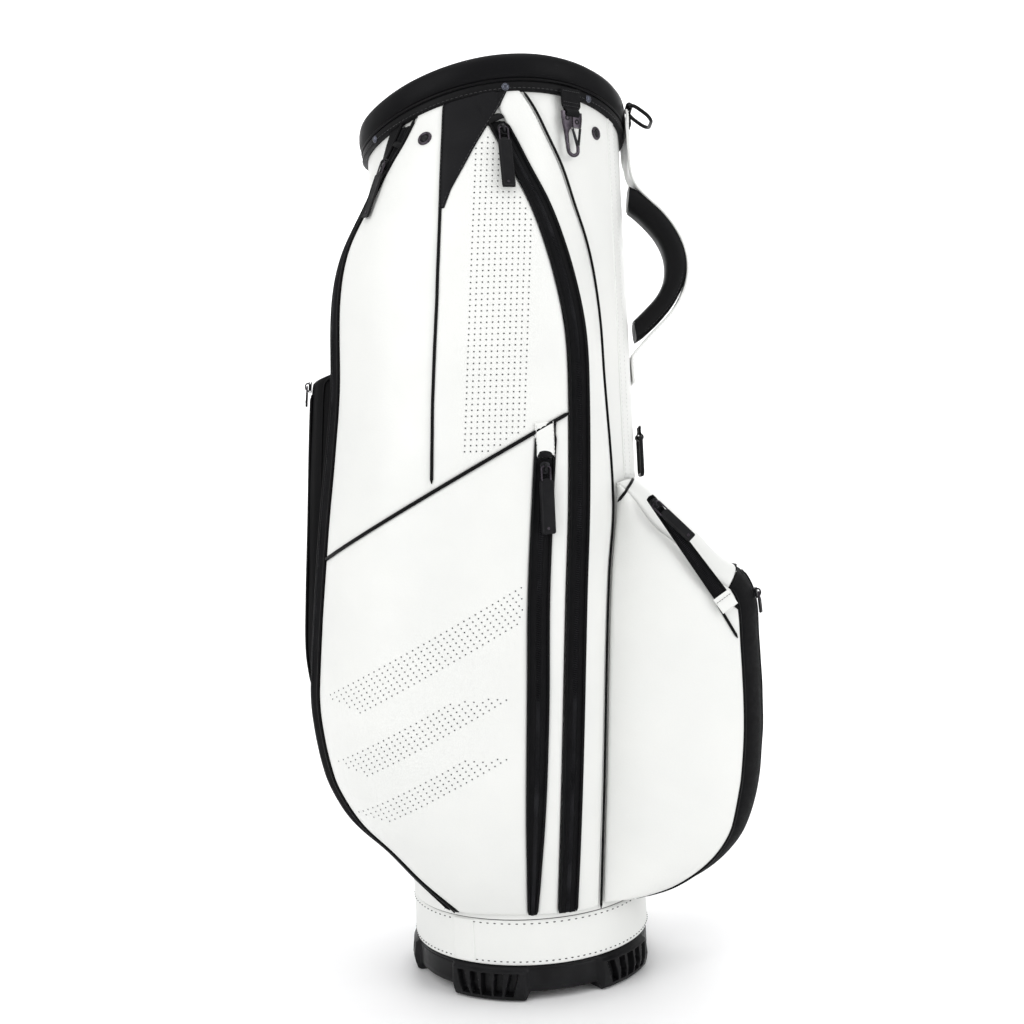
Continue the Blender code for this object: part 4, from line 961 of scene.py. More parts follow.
# ---- near apparel pocket: panels --------------------------------------------------
def near_panels(side, tag):
    """side -1 is the near pocket; the far one is its mirror image with a plain panel."""
    fix = (lambda p: p) if side < 0 else mirror
    if side < 0:
        t = (0.004 + 0.990 * ends_dense(70, 0.25, 0.005))[:, None]
        v = ends_dense(100, 0.33, 0.005)[None]
        low = sash(t) + 0.0009
        high = near_top(t, near_panel)
        p = near_panel(t + 0 * v, low + (high - low) * v)
        seam = (lambda q: q[..., 0] - flash_line(q[..., 2]), 0.0009, 0.0030)
        panel("near_upper_panel_sewn", p, WHITE, "white_leathercloth",
                        ["near_upper_panel"], puff=0.0006, wave=0.0007, seed=5, seams=[seam])
        t = ends_dense(66, 0.20, 0.005)[:, None]
        v = ends_dense(110, 0.40, 0.005)[None]
        panel("near_lower_panel_sewn", lower_point(t + 0 * v, v + 0 * t, -1), WHITE,
                        "white_leathercloth", ["near_lower_panel"], puff=0.0010, wave=0.0009,
                        seed=6)
        t = ends_dense(8, 0.03, 0.004)[:, None]
        panel("near_lower_strip_sewn", lower_point(t + 0 * v, v + 0 * t, 1), WHITE,
                        "white_leathercloth", ["near_lower_strip"], roll=(0.0012, 0.0035),
                        wave=0.0003, seed=8)
    else:
        t = (0.004 + 0.990 * ends_dense(70, 0.25, 0.005))[:, None]
        v = ends_dense(170, 0.76, 0.005)[None]
        high = near_top(t, near_panel)
        p = fix(near_panel(t + 0 * v, NEAR_LOW + (high - NEAR_LOW) * v))
        seam = (lambda q: q[..., 2] - SASH_Z - SASH_SLOPE * q[..., 0], 0.0010, 0.0032)
        panel("far_panel_sewn", p, WHITE, "white_leathercloth", ["far_panel"],
                        puff=0.0010, wave=0.0009, seed=9, seams=[seam])
    t = (0.015 + 0.985 * ends_dense(12, 0.03, 0.004))[:, None]
    v = ends_dense(170, 0.76, 0.004)[None]
    high = near_top(t, near_strip)
    p = fix(near_strip(t + 0 * v, NEAR_LOW + (high - NEAR_LOW) * v))
    panel(tag + "_welt_strip_sewn", p, WHITE, "white_leathercloth",
                    [tag + "_welt_strip"], roll=(0.0011, 0.0035), wave=0.0004, seed=10)
    t = (0.390 + 0.610 * ends_dense(16, 0.04, 0.004))[:, None]
    high = near_top(t, near_gusset)
    p = fix(near_gusset(t + 0 * v, NEAR_LOW + (high - NEAR_LOW) * v))
    panel(tag + "_gusset_sewn", p, BLACK, "black_leathercloth", [tag + "_gusset"],
          roll=(0.0010, 0.0035), wave=0.0006, seed=12)


near_panels(-1, "near")
near_panels(1, "far")


# ---- zips and piping --------------------------------------------------------------
def zipper(name, p_of, z0, z1, u0, u1, node, coil_from=None, sign=1, pitch=0.0017):
    """Woven tape with a nylon coil down its middle; p_of(u, z) is the tape's surface."""
    fix = (lambda p: p) if sign > 0 else mirror
    m = max(30, int((z1 - z0) / 0.004))
    u = np.linspace(u0, u1, 13)[:, None]
    z = np.linspace(z0, z1, m)[None]
    p = fix(p_of(u + 0 * z, z + 0 * u))
    n = outward(p, grid_normals(p))
    x = np.abs(np.linspace(-1, 1, 13))[:, None]
    ridge = 0.0006 * np.exp(-((x - 0.36) / 0.12) ** 2) - 0.0007 * np.exp(-(x / 0.16) ** 2)
    ridge = ridge + 0.0002 * wobble(p, 0.03, 31)
    q = p + n * ridge[..., None]
    tape = shell(Heap(), q, n, 0.0014).done(name + "_tape", TAPE, "zip_tape", nodes=[node])
    coil = Heap()
    mid = evenly(np.concatenate([p[6], n[6]], axis=1), pitch)
    c, nn = mid[:, :3], unit(mid[:, 3:])
    t = unit(np.gradient(c, axis=0))
    s = np.cross(t, nn)
    arc = np.radians((10, 50, 90, 130, 170))
    for k in range(1, len(c) - 1):
        if coil_from is not None and c[k][2] > coil_from:
            continue
        path = [c[k] + s[k] * 0.0021 * math.cos(a) + nn[k] * (0.0012 * math.sin(a) - 0.0005)
                + t[k] * 0.00035 * math.cos(a) for a in arc]
        tube(coil, path, 0.00052, 4, up=None)
    coil.done(name + "_coil", COIL, "zip_tape", sharp=60)
    return tape


def piping(name, lines, r=0.0014, mat=PIPING, slot="black_leathercloth", flat=1.0):
    """Piping along one or more lines, in one mesh."""
    heap = Heap()
    for p in lines:
        tube(heap, evenly(p, 0.004), r, 8, flat=flat, taper=0.002)
    return heap.done(name, mat, slot, sharp=70)


def on(p_of, t, z, lift):
    """Points of the surface p_of on the line (t, z), raised by lift."""
    t, z = np.broadcast_arrays(np.asarray(t, float), np.asarray(z, float))
    p, n = near_normal(p_of, t, z)
    return p + n * lift


ZS = np.linspace(NEAR_LOW + 0.001, 0.838, 190)
for sign, tag in ((1, "near"), (-1, "far")):
    fix = (lambda p: p) if sign > 0 else mirror
    zipper(tag + "_front_zip", near_front_zip, NEAR_LOW, ZIP_A_HIGH + 0.002, 0.05, 0.95,
           tag + "_zip_front", 0.802, sign)
    zipper(tag + "_back_zip", near_gusset, NEAR_LOW, 0.8330, 0.020, 0.365, tag + "_zip_back",
           0.785, sign)
    za = np.linspace(NEAR_LOW + 0.001, ZIP_A_HIGH, 180)
    edges = [fix(on(near_front_zip, 0.02, za, 0.0009)), fix(on(near_front_zip, 0.98, za, 0.0009)),
             fix(on(near_gusset, 0.012, ZS, 0.0006)), fix(on(near_gusset, 0.378, ZS, 0.0006))]
    zw = np.linspace(0.0785, 0.853, 200)
    line = polar(np.arcsin(along(WELT_X, zw) / trunk_r(zw)), trunk_r(zw) + LIFT - 0.0006, zw)
    piping(tag + "_zip_piping", edges, 0.0015)
    piping(tag + "_welt_piping", [fix(line)], 0.00128)
zipper("near_mid_zip", near_mid_zip, NEAR_LOW, 0.5080, -0.96, 0.96, "near_zip_mid", 0.492)
zm = np.linspace(NEAR_LOW + 0.001, 0.5300, 120)
piping("near_mid_zip_piping", [on(near_mid_zip, -1.02, zm, 0.0007),
                               on(near_mid_zip, 1.02, zm, 0.0007)], 0.0014)
zf = np.linspace(0.4905, 0.8460, 110)
ts = np.linspace(0.004, 0.994, 120)
zd = sash(ts)
near_skin = Skin("near_upper_panel_sewn", "near_lower_panel_sewn", "near_lower_strip_sewn",
                 "near_welt_strip_sewn", "near_front_zip_tape")
p, n = near_normal(near_panel, ts, zd)
piping("near_sash_piping", [p + n * 0.0006], 0.0017)
p, n = near_normal(near_panel, at_x(flash_line(zf), zf), zf)
piping("near_flash_piping", [near_skin.lay(p, n, 0.0006)], 0.0016)
piping("far_sash_piping", [mirror(on(near_panel, ts, zd, 0.0004))], 0.0017)


# ---- flash, zip hoods and end tabs ------------------------------------------------
def face_xz(x, z):
    """Near side surface by x and z, carried round the trunk past the panel's edge."""
    edge = along(FRONT_X, z) - ZIP_HALF - 0.0005
    p = near_panel(at_x(np.minimum(x, edge), z), z)
    r = np.hypot(p[..., 0], p[..., 1])
    over = x > edge
    y = np.where(over, -np.sqrt(np.maximum(r * r - x * x, 1e-6)), p[..., 1])
    return stack(x, y, z)


def flash():
    """Plain black triangular patch under the collar."""
    u = ends_dense(26, 0.05, 0.003)[:, None]
    v = ends_dense(46, 0.09, 0.003)[None]
    z_top = lip_low(np.arctan2(-0.046 + 0.062 * u, 0.126)) + 0.0012
    z = z_top + (0.7435 - z_top) * v
    left = flash_line(z) - 0.0012
    k = (0.852 - z) / (0.852 - 0.7435)
    right = np.interp(k, (0.0, 0.14, 0.32, 0.50, 0.66, 0.84, 1.0),
                      (0.0150, 0.0065, -0.0065, -0.0185, -0.0285, -0.0400, -0.0475))
    x = left + (right - left) * u
    p = face_xz(x, z)
    n = outward(p, grid_normals(p))
    p = near_skin.lay(p, n, 0.0016)
    panel("flash_sewn", p, PATCH, "black_leathercloth", ["accent_patch"], thick=0.0014,
          roll=(0.0012, 0.0022), wave=0.0004, seed=42)
    thread = Heap()
    for col, shift in ((-1, -0.0014), (0, 0.0018)):
        q = p[col] if col == -1 else p[0]
        x = q[:, 0] + shift
        c = face_xz(x, q[:, 2])
        nn = unit(c * (1, 1, 0))
        stitches(thread, (c + nn * 0.0024)[3:-3], nn[3:-3], 0.0042, 0.0029, 0.00028)
    thread.done("flash_thread", BLACK_THREAD, "black_leathercloth")


flash()


def hood(heap, c, along_dir, n, wide, long, high):
    """Small garage over the end of a zip: an arched cap, open below."""
    t, n = unit(along_dir), unit(n)
    s = np.cross(t, n)
    a = np.linspace(0, math.pi, 15)
    loops = []
    for d, w, h in ((0.0, 1.0, 1.0), (0.3, 1.0, 0.98), (0.62, 0.93, 0.86), (0.86, 0.74, 0.55),
                    (1.0, 0.50, 0.16)):
        loops.append([c - t * long * d + s * (wide / 2 * w * math.cos(q))
                      + n * (high * h * math.sin(q) ** 0.75) for q in a])
    loops = np.array(loops)
    inner = loops - n * 0.0012
    m = len(a)
    v = np.concatenate([loops.reshape(-1, 3), inner.reshape(-1, 3)])
    f = []
    tot = loops.shape[0] * m
    for i in range(loops.shape[0] - 1):
        for j in range(m - 1):
            q = (i * m + j, i * m + j + 1, (i + 1) * m + j + 1, (i + 1) * m + j)
            f += [q, tuple(x + tot for x in reversed(q))]
    for j in range(m - 1):
        f.append((j + 1, j, tot + j, tot + j + 1))
        b = (loops.shape[0] - 1) * m
        f.append((b + j, b + j + 1, tot + b + j + 1, tot + b + j))
    heap.add(v, f)


def hoods():
    """Small garages over the ends of the zips."""
    heap = Heap()
    for fn, t, z, w, sign in ((near_front_zip, 0.5, 0.8245, 0.0165, 1),
                              (near_front_zip, 0.5, 0.8245, 0.0165, -1),
                              (near_gusset, 0.16, 0.8150, 0.0155, 1),
                              (near_gusset, 0.16, 0.8150, 0.0155, -1),
                              (near_mid_zip, 0.0, 0.5095, 0.0150, 1)):
        p, n = near_normal(fn, np.array(t), np.array(z))
        q = fn(np.array(t), np.array(z - 0.02))
        d = unit(q - p)
        if sign < 0:
            p, n, d = mirror(p), mirror(n), mirror(d)
        hood(heap, p + n * 0.0004, d, n, w, 0.0070, 0.0030)
    heap.done("zip_garages", BLACK, "black_leathercloth", sharp=50)


hoods()


def stop_tab():
    u = ends_dense(6, 0.017, 0.002)[:, None]
    z = 0.5110 + 0.0300 * ends_dense(10, 0.03, 0.002)[None]
    x = 0.0335 + 0.0085 * (2 * u - 1) + 0 * z
    p = face_xz(x, z + 0 * x)
    n = outward(p, grid_normals(p))
    p = near_skin.lay(p, n, 0.0021)
    panel("near_zip_end_tab", p, WHITE, "white_leathercloth", ["near_zip_tab"], thick=0.0018,
          roll=(0.0010, 0.0018))
    thread = Heap()
    for side in (2, -3):
        q = p[side]
        stitches(thread, q + n[side] * 0.0002, n[side], 0.0036, 0.0025, 0.00028)
    thread.done("near_zip_end_thread", THREAD, "white_leathercloth")


stop_tab()


# ---- punched patterns -------------------------------------------------------------
def punched():
    """Punched holes: an upright field above the sash and slanting bands below it."""
    pitch = 0.0053                # from hole to hole
    pts, nrm = [], []
    for row in range(60):
        z = 0.8300 - row * pitch
        mid = 0.0121 + (z - 0.8145) * 0.0836
        xs = mid + (np.arange(11) - 5) * pitch
        zs = z - (xs - mid) * 0.02
        ok = (xs < along(FRONT_X, zs) - ZIP_HALF - 0.0050) & (zs > SASH_Z + SASH_SLOPE * xs + 0.0065)
        flash_right = np.interp((0.852 - zs) / 0.102, (0.0, 0.12, 0.30, 0.45, 0.60, 0.80, 1.0),
                                (0.0185, 0.0110, -0.0035, -0.0160, -0.0265, -0.0390, -0.0480))
        ok &= xs > np.where(zs > 0.752, flash_right + 0.0040, -1)
        if ok.any():
            p, n = near_normal(near_panel, at_x(xs[ok], zs[ok]), zs[ok])
            pts.append(near_skin.lay(p, n, 0.00005))
            nrm.append(n)
    dots(Heap(), np.concatenate(pts), np.concatenate(nrm), 0.00074).done(
        "upper_punched_holes", HOLE_BACKING_AND_SHADE, "white_leathercloth")
    pts, nrm = [], []
    for band_no, (z0, wide) in enumerate(((0.338, 7), (0.272, 6), (0.214, 5))):
        for k in range(wide):
            for i in range(40):
                x = -0.180 + i * pitch + (k % 2) * pitch / 2
                z = z0 - k * 0.0050 + (x + 0.10) * 0.52
                left = along(EDGE_X, z) + 0.012 + 0.006 * k
                right = along(MID_ZIP_X, z) - ZIP_HALF - 0.006 - 0.010 * (wide - k) * (band_no > 0)
                if x < left or x > right:
                    continue
                p, n = near_normal(near_panel, at_x(np.array(x), np.array(z)), np.array(z))
                pts.append(near_skin.lay(p[None], n, 0.00005))
                nrm.append(n[None])
    dots(Heap(), np.concatenate(pts), np.concatenate(nrm), 0.00070).done(
        "lower_punched_holes", HOLE_BACKING_AND_SHADE, "white_leathercloth")


punched()


# ---- ball pocket ------------------------------------------------------------------
def ball_line(s):
    pts = np.array([(x, z) for x, z in BALL_PROFILE])
    lens = np.concatenate([[0], np.cumsum(np.linalg.norm(np.diff(pts, axis=0), axis=1))])
    xs, zs = list(zip(lens / lens[-1], pts[:, 0])), list(zip(lens / lens[-1], pts[:, 1]))
    s0, s1 = np.maximum(0.0, s - 0.004), np.minimum(1.0, s + 0.004)
    dx, dz = along(xs, s1) - along(xs, s0), along(zs, s1) - along(zs, s0)
    size = np.hypot(dx, dz)
    return along(xs, s), along(zs, s), -dz / size, dx / size


def ball_skin(s, y):
    s, y = np.broadcast_arrays(np.asarray(s, float), np.asarray(y, float))
    px, pz, nx, nz = ball_line(s)
    q = np.clip((np.abs(y) - COVER_Y) / (BALL_Y - COVER_Y), 0, 1)
    fade = np.minimum(1.0, np.minimum(0.35 + 0.65 * ease(s / 0.10),
                                      0.10 + 0.90 * ease((1 - s) / 0.30)))
    drop = BALL_DROP * fade * (1.0 - np.sqrt(1.0 - (0.97 * q) ** 2))
    near = np.maximum(0.0, np.maximum(1 - s / 0.16, (s - 0.78) / 0.22)) ** 1.5
    r = trunk_r(pz)
    wrap = 0.76 * (r - np.sqrt(r * r - y * y)) * near
    return stack(px - nx * drop - wrap, y, pz - nz * drop)


def ball_side(u, s, sign):
    b = ball_skin(s, BALL_Y + 0 * s) + (0, 0.0032, 0)
    foot = welt(b[..., 2], 1.4)
    a = stack(foot[..., 0], -foot[..., 1], b[..., 2])
    u = np.asarray(u)[..., None]
    p = a * (1 - u) + b * u
    p[..., 1] += 0.005 * np.sin(math.pi * u[..., 0])
    return p * (1, sign, 1)


def ball_pocket():
    """Ball pocket: its top, cover, sides and the zip band round its front."""
    s = (CORNER - 0.011) * ends_dense(30, 0.13, 0.005)[:, None]
    y = (ends_dense(60, 0.172, 0.005)[None] * 2 - 1) * BALL_Y
    p = ball_skin(s, y)
    panel("ball_top_sewn", p, WHITE, "white_leathercloth", ["ball_top"], puff=0.0006,
                    wave=0.0006, seed=51, out=(0.5, 0, 1))
    s = CORNER + 0.011 + (0.989 - CORNER) * ends_dense(70, 0.34, 0.005)[:, None]
    y = (ends_dense(30, 0.094, 0.005)[None] * 2 - 1) * (COVER_Y - 0.0006)
    p = ball_skin(np.minimum(s, 1.0), y)
    panel("ball_cover_sewn", p, WHITE, "white_leathercloth", ["ball_cover"],
                    puff=0.0012, wave=0.0009, seed=52, out=(1, 0, 0))
    for sign, tag in ((-1, "near"), (1, "far")):
        s = (0.004 + 0.981 * ends_dense(110, 0.5, 0.005))[:, None]
        u = ends_dense(40, 0.10, 0.005)[None]
        p = ball_side(u + 0 * s, s + 0 * u, sign)
        panel(f"ball_side_{tag}_sewn", p, WHITE, "white_leathercloth",
                        [f"ball_side_{tag}"], puff=0.0010, wave=0.0008, seed=53 + sign,
                        out=(0, sign, 0))
    # black gusset down both flanks and across the corner, with the zip on its crown
    heap, coil, pipe = Heap(), Heap(), []
    for sign in (-1, 1):
        s = np.linspace(CORNER - 0.008, 0.999, 150)[:, None]
        y = sign * np.linspace(COVER_Y + 0.0002, BALL_Y, 22)[None]
        p = ball_skin(s, y)
        x = np.linspace(0, 1, 22)[None]
        n = grid_normals(p)
        n = n if (n[..., 0]).sum() > 0 else -n
        p = p + n * (-0.0008 * np.exp(-((x - 0.36) / 0.07) ** 2) + 0.0003 * wobble(p, 0.04, 57)
                     )[..., None]
        shell(heap, p, n, 0.0018)
        c = evenly(np.concatenate([p[:, 8], n[:, 8]], axis=1), 0.0017)
        arcs(coil, c[30:, :3], unit(c[30:, 3:]))
        pipe.append((p + n * 0.0008)[3:, 0])
        pipe.append((p + n * 0.0006)[:, -1])
    s = np.linspace(CORNER - 0.0088, CORNER + 0.0088, 9)[:, None]
    y = np.linspace(-COVER_Y - 0.001, COVER_Y + 0.001, 50)[None]
    p = ball_skin(s, y)
    n = outward(p, grid_normals(p), (1, 0, 1))
    p = p + n * (0.0002 - 0.0007 * np.exp(-((s - CORNER) / 0.002) ** 2))[..., None]
    shell(heap, p, n, 0.0016)
    c = evenly(np.concatenate([p[4], n[4]], axis=1), 0.0017)
    arcs(coil, c[:, :3], unit(c[:, 3:]))
    pipe += [(p + n * 0.0006)[0], (p + n * 0.0006)[-1]]
    heap.done("ball_zip_gusset", TAPE, "zip_tape", nodes=["ball_zip_band"])
    coil.done("ball_zip_coil", COIL, "zip_tape", sharp=60)
    for sign in (-1, 1):
        s = np.linspace(0.004 if sign > 0 else CORNER - 0.006, 0.985, 220)
        pipe.append(ball_side(np.ones_like(s), s, sign) + (0, -sign * 0.0008, 0))
    piping("ball_pocket_piping", pipe, 0.0015)


def arcs(heap, c, n):
    """Coil teeth along the points c."""
    t = unit(np.gradient(c, axis=0))
    s = np.cross(t, n)
    a = np.radians((10, 50, 90, 130, 170))
    for k in range(1, len(c) - 1):
        path = [c[k] + s[k] * 0.0021 * math.cos(w) + n[k] * (0.0012 * math.sin(w) - 0.0005)
                + t[k] * 0.00035 * math.cos(w) for w in a]
        tube(heap, path, 0.00052, 4)


ball_pocket()
DIAG_TOP, DIAG_LOW = np.array([0.1330, -0.1020, 0.4695]), np.array([0.1980, -0.0985, 0.3700])


def diag_zip():
    """Slanting zip on the near flank of the ball pocket."""
    run = DIAG_LOW - DIAG_TOP
    side = unit((run[2], 0.0, -run[0]))
    v = np.linspace(0, 1, 50)[:, None]
    u = np.linspace(-1, 1, 13)[None]
    half = 0.0034 + 0.0032 * v
    p = DIAG_TOP + run * v[..., None] + side * (u * half)[..., None]
    n = outward(p, grid_normals(p), (0, -1, 0))
    ridge = 0.0004 * np.exp(-((np.abs(u) - 0.40) / 0.14) ** 2) - 0.0006 * np.exp(-(u / 0.18) ** 2)
    q = p + n * (ridge + 0 * v)[..., None]
    shell(Heap(), q, n, 0.0013).done("ball_diag_tape", TAPE, "zip_tape", nodes=["ball_diag_zip"])
    coil = Heap()
    c = evenly(np.concatenate([p[:, 6], n[:, 6]], axis=1), 0.0017)
    arcs(coil, c[6:, :3], unit(c[6:, 3:]))
    coil.done("ball_diag_coil", COIL, "zip_tape", sharp=60)
    frame_line = np.concatenate([p[:, 0], p[-1], p[::-1, -1], p[0, ::-1]]) + n[0, 0] * 0.0006
    piping("ball_diag_piping", [frame_line], 0.0011)


diag_zip()


def ball_trims():
    """Piping laid on the near flank of the ball pocket and the white tab ending its zip."""
    flank = Skin("ball_top_sewn", "ball_side_near_sewn")

    def cast(x, z):
        hit = flank.tree.ray_cast((x, -0.30, z), (0.0, 1.0, 0.0), 0.6)[0]
        return None if hit is None else np.array(hit)
    runs = []
    for (x0, z0), (x1, z1) in (((0.0978, 0.4600), (0.1235, 0.4905)),
                               ((0.1925, 0.3660), (0.2125, 0.3290)),
                               ((0.2035, 0.3735), (0.2165, 0.3540))):
        got = [cast(x0 + (x1 - x0) * k, z0 + (z1 - z0) * k) for k in np.linspace(0, 1, 40)]
        got = [q for q in got if q is not None]
        if len(got) > 5:
            runs.append(smooth_line(got[::4] + [got[-1]], 60) + (0, -0.0006, 0))
    piping("ball_flank_piping", runs, 0.0015)
    along_zip = unit(DIAG_LOW - DIAG_TOP)
    side = unit((along_zip[2], 0.0, -along_zip[0]))
    u = (ends_dense(8, 0.016, 0.002) * 2 - 1)[:, None]
    v = ends_dense(8, 0.016, 0.002)[None]
    p = (DIAG_LOW + along_zip * (v * 0.0165 - 0.0030)[..., None] + side * (u * 0.0088 + 0 * v)[..., None]
         + (0, -0.0022, 0))
    panel("ball_diag_end_tab", p, WHITE, "white_leathercloth", thick=0.0016, out=(0, -1, 0),
          roll=(0.0009, 0.0016))
    thread = Heap()
    q = DIAG_LOW + along_zip * 0.0015 + side * np.linspace(-0.0070, 0.0070, 30)[:, None] + (0, -0.0026, 0)
    stitches(thread, q, np.broadcast_to((0, -1.0, 0), q.shape), 0.0030, 0.0021, 0.00028)
    thread.done("ball_diag_end_thread", DARK_THREAD, "white_leathercloth")


ball_trims()


# ---- back pocket ------------------------------------------------------------------
def back_section(z, t):
    x = along(BACK_X, z)
    end = np.minimum(1.0, np.minimum(ease((z - BACK_LOW) / 0.022),
                                     ease((BACK_HIGH - z) / 0.022))) * 0.9 + 0.1
    reach = -trunk_r(z) - LIFT + (x + trunk_r(z) + LIFT) * np.sqrt(end)
    foot = -np.sqrt((trunk_r(z) + LIFT) ** 2 - BACK_HALF ** 2)
    a, s = np.abs(t), np.sign(t)
    k = (a - 0.55) / 0.45
    flank = np.where(reach + 0.014 < foot, reach + 0.014 + (foot - reach - 0.014) * k, foot)
    kk = np.clip(a / 0.55, 0, 1)
    y = np.where(a > 0.55, BACK_HALF, BACK_HALF * np.sin(kk * math.pi / 2) ** 0.8)
    face = np.minimum(reach + 0.014 * (1 - np.sqrt(np.maximum(0.0, 1 - kk ** 3))), foot)
    return stack(np.where(a > 0.55, flank, face), s * y, z)


def back_pocket():
    """Black pocket on the back of the trunk."""
    t = np.linspace(-1, 1, 81)[:, None]
    z = BACK_LOW + (BACK_HIGH - BACK_LOW) * (0.5 - 0.5 * np.cos(np.linspace(0, math.pi, 90)))[None]
    p = back_section(z + 0 * t, t + 0 * z)
    panel("back_pocket_sewn", p, BLACK, "black_leathercloth", ["back_pocket"],
                    roll=(0.0008, 0.0030), puff=0.0006, wave=0.0008, seed=61,
                    seams=[(lambda q: np.abs(q[..., 1]) - 0.0365, 0.0008, 0.0022)])
    coil = Heap()
    zz = np.linspace(0.300, 0.566, 160)
    c = back_section(zz, -0.30 + 0 * zz)
    n = unit(np.array((-0.97, -0.22, 0.0)) + 0 * c)
    band_pts = evenly(c + n * 0.0012, 0.0017)
    arcs(coil, band_pts, np.broadcast_to(n[0], band_pts.shape))
    coil.done("back_pocket_coil", COIL, "zip_tape", sharp=60)
    rows = []
    w = np.linspace(-1, 1, 9)[:, None]
    zr = np.linspace(0.296, 0.590, 80)[None]
    tt = -0.30 + w * 0.075
    q = back_section(zr + 0 * w, tt + 0 * zr)
    nn = outward(q, grid_normals(q), (-1, -0.2, 0))
    q = q + nn * (0.0010 - 0.0005 * np.exp(-(w / 0.25) ** 2) + 0 * zr)[..., None]
    shell(Heap(), q, nn, 0.0012).done("back_pocket_tape", TAPE, "zip_tape")
    rows = [q[0] + nn[0] * 0.0002, q[-1] + nn[-1] * 0.0002]
    side = []
    for s in (-1, 1):
        zz = np.linspace(BACK_LOW + 0.004, BACK_HIGH - 0.004, 120)
        side.append(back_section(zz, s * 0.55 + 0 * zz) + (0, s * 0.0004, 0))
    piping("back_pocket_piping", rows + side, 0.0012)


back_pocket()


# ---- zip sliders and pulls --------------------------------------------------------
PIN_LIFT = 0.0046  # from the zip's face up to the pull's pin


def runner(tag, o, d, n, hang, length, width):
    """Slider with its bridge, and the pull hanging from it on a wire link."""
    o, d, n = np.array(o, float), unit(d), np.array(n, float)
    n = unit(n - d * (n @ d))
    c = np.cross(d, n)
    pin = o + n * PIN_LIFT
    s = Heap()
    k = np.linspace(-1, 1, 15)
    half = 0.0036 + 0.0008 * np.cos((k + 0.35) * 1.7)
    for base, high, shrink in ((0.0000, 0.0012, 1.0), (0.0020, 0.0031, 0.94)):
        loops = []
        for kk, w in zip(k, half * shrink):
            w2 = w * math.sqrt(max(0.05, 1 - abs(kk) ** 6))
            sec = rounded(2 * w2, high - base, 0.00045, 3)
            loops.append([o + d * kk * 0.0055 + c * a + n * ((base + high) / 2 + b) for a, b in sec])
        s.add(*skin(loops))
    plate(s, o + n * 0.0016, c, d, n, 0.0026, 0.0070, 0.0008,
          ((0, -0.0008), (0, 0.0008)))
    arch = smooth_line([(-0.0040, 0.0028), (-0.0034, 0.0052), (-0.0010, 0.0064), (0.0016, 0.0060),
                        (0.0034, 0.0046), (0.0038, 0.0028)], 18)
    path = np.array([o + d * a + n * b for a, b in arch])
    side_dir = np.broadcast_to(c, path.shape)
    tube(s, path, np.linspace(0.00085, 0.0007, 18), 8, up=side_dir, flat=1.5)
    s.done(tag + "_slider_made", DARK, "gunmetal", body=tag + "_runner", nodes=[tag + "_slider"],
           sharp=40)
    d = np.array(hang, float)
    d = unit(d - n * (n @ d))
    c = np.cross(d, n)
    p = Heap()
    small = min(1.0, length / 0.045)
    wire = rounded(0.0082 * small, 0.0140 * small, 0.0024 * small, 6)
    ring = np.array([pin + c * a + d * (b + 0.0058 * small) for a, b in wire])
    tube(p, ring, 0.00085, 10, closed=True)
    p.done(tag + "_pull_link", GUN, "gunmetal", body=tag + "_tag")
    q = Heap()
    start, t = 0.0112 * small, 0.0011
    mid = pin + d * ((start + length) / 2)
    long = length - start
    plate(q, mid, c, d, n, width, long, width * 0.17,
          ((0.0007, -t), (0.0001, -t * 0.62), (0, -t * 0.2), (0, t * 0.3), (0.0002, t * 0.75),
           (0.0008, t), (0.0016, t), (0.0020, t * 0.74), (0.0030, t * 0.74)), 5)
    head = pin + d * (start + 0.0010)
    plate(q, head, c, d, n, 0.0064 * small, 0.0052, 0.0016, ((0.0004, -0.0010), (0, -0.0006), (0, 0.0006),
                                                     (0.0004, 0.0010)), 4)
    q.done(tag + "_pull_tab", PULL, "gunmetal", body=tag + "_tag", nodes=[tag + "_pull"], sharp=40)
    r = Heap()
    turned_at(r, mid + d * (long / 2 - 0.0052) + n * t * 0.74, n,
              ((0.0013, -0.0001), (0.0013, 0.0003), (0.0010, 0.00055), (0.0006, 0.0005),
               (0.0004, 0.0002)), 16)
    r.done(tag + "_pull_eyelet", GUN, "gunmetal", body=tag + "_tag")


def zip_place(tag):
    """Seat, sliding direction and face normal of a slider, from the part's own joints."""
    joints = {j["name"]: j for j in frame["joints"]}
    swing = joints[tag + "_swing"]
    d = unit(np.array(joints[tag + "_slide"]["axis"], float))
    n = unit(np.cross(swing["axis"], d))
    return np.array(swing["pos_m"], float) - (TX, 0, 0) - n * PIN_LIFT, d, n


for tag, hang, length, width in (
        ("front_zip", (0, 0, -1), 0.0585, 0.0128), ("mid_zip", (0, 0, -1), 0.0600, 0.0136),
        ("back_zip", (-0.22, 0, -1), 0.0560, 0.0128),
        ("far_front_zip", (0, 0, -1), 0.0585, 0.0128),
        ("ball_diag", (1, 0, -1.04), 0.0480, 0.0100), ("ball_zip", (0, 0, -1), 0.0200, 0.0080),
        ("back_pocket_zip", (0, 0, -1), 0.0200, 0.0080)):
    runner(tag, *zip_place(tag), hang, length, width)


# ---- handle -----------------------------------------------------------------------
def swept_frames(line):
    t = unit(np.gradient(line, axis=0))
    return t, stack(-t[:, 2], 0.0, t[:, 0])


STRAP_BEND = 0.1394               # radius the strap's head is bent to, over the collar


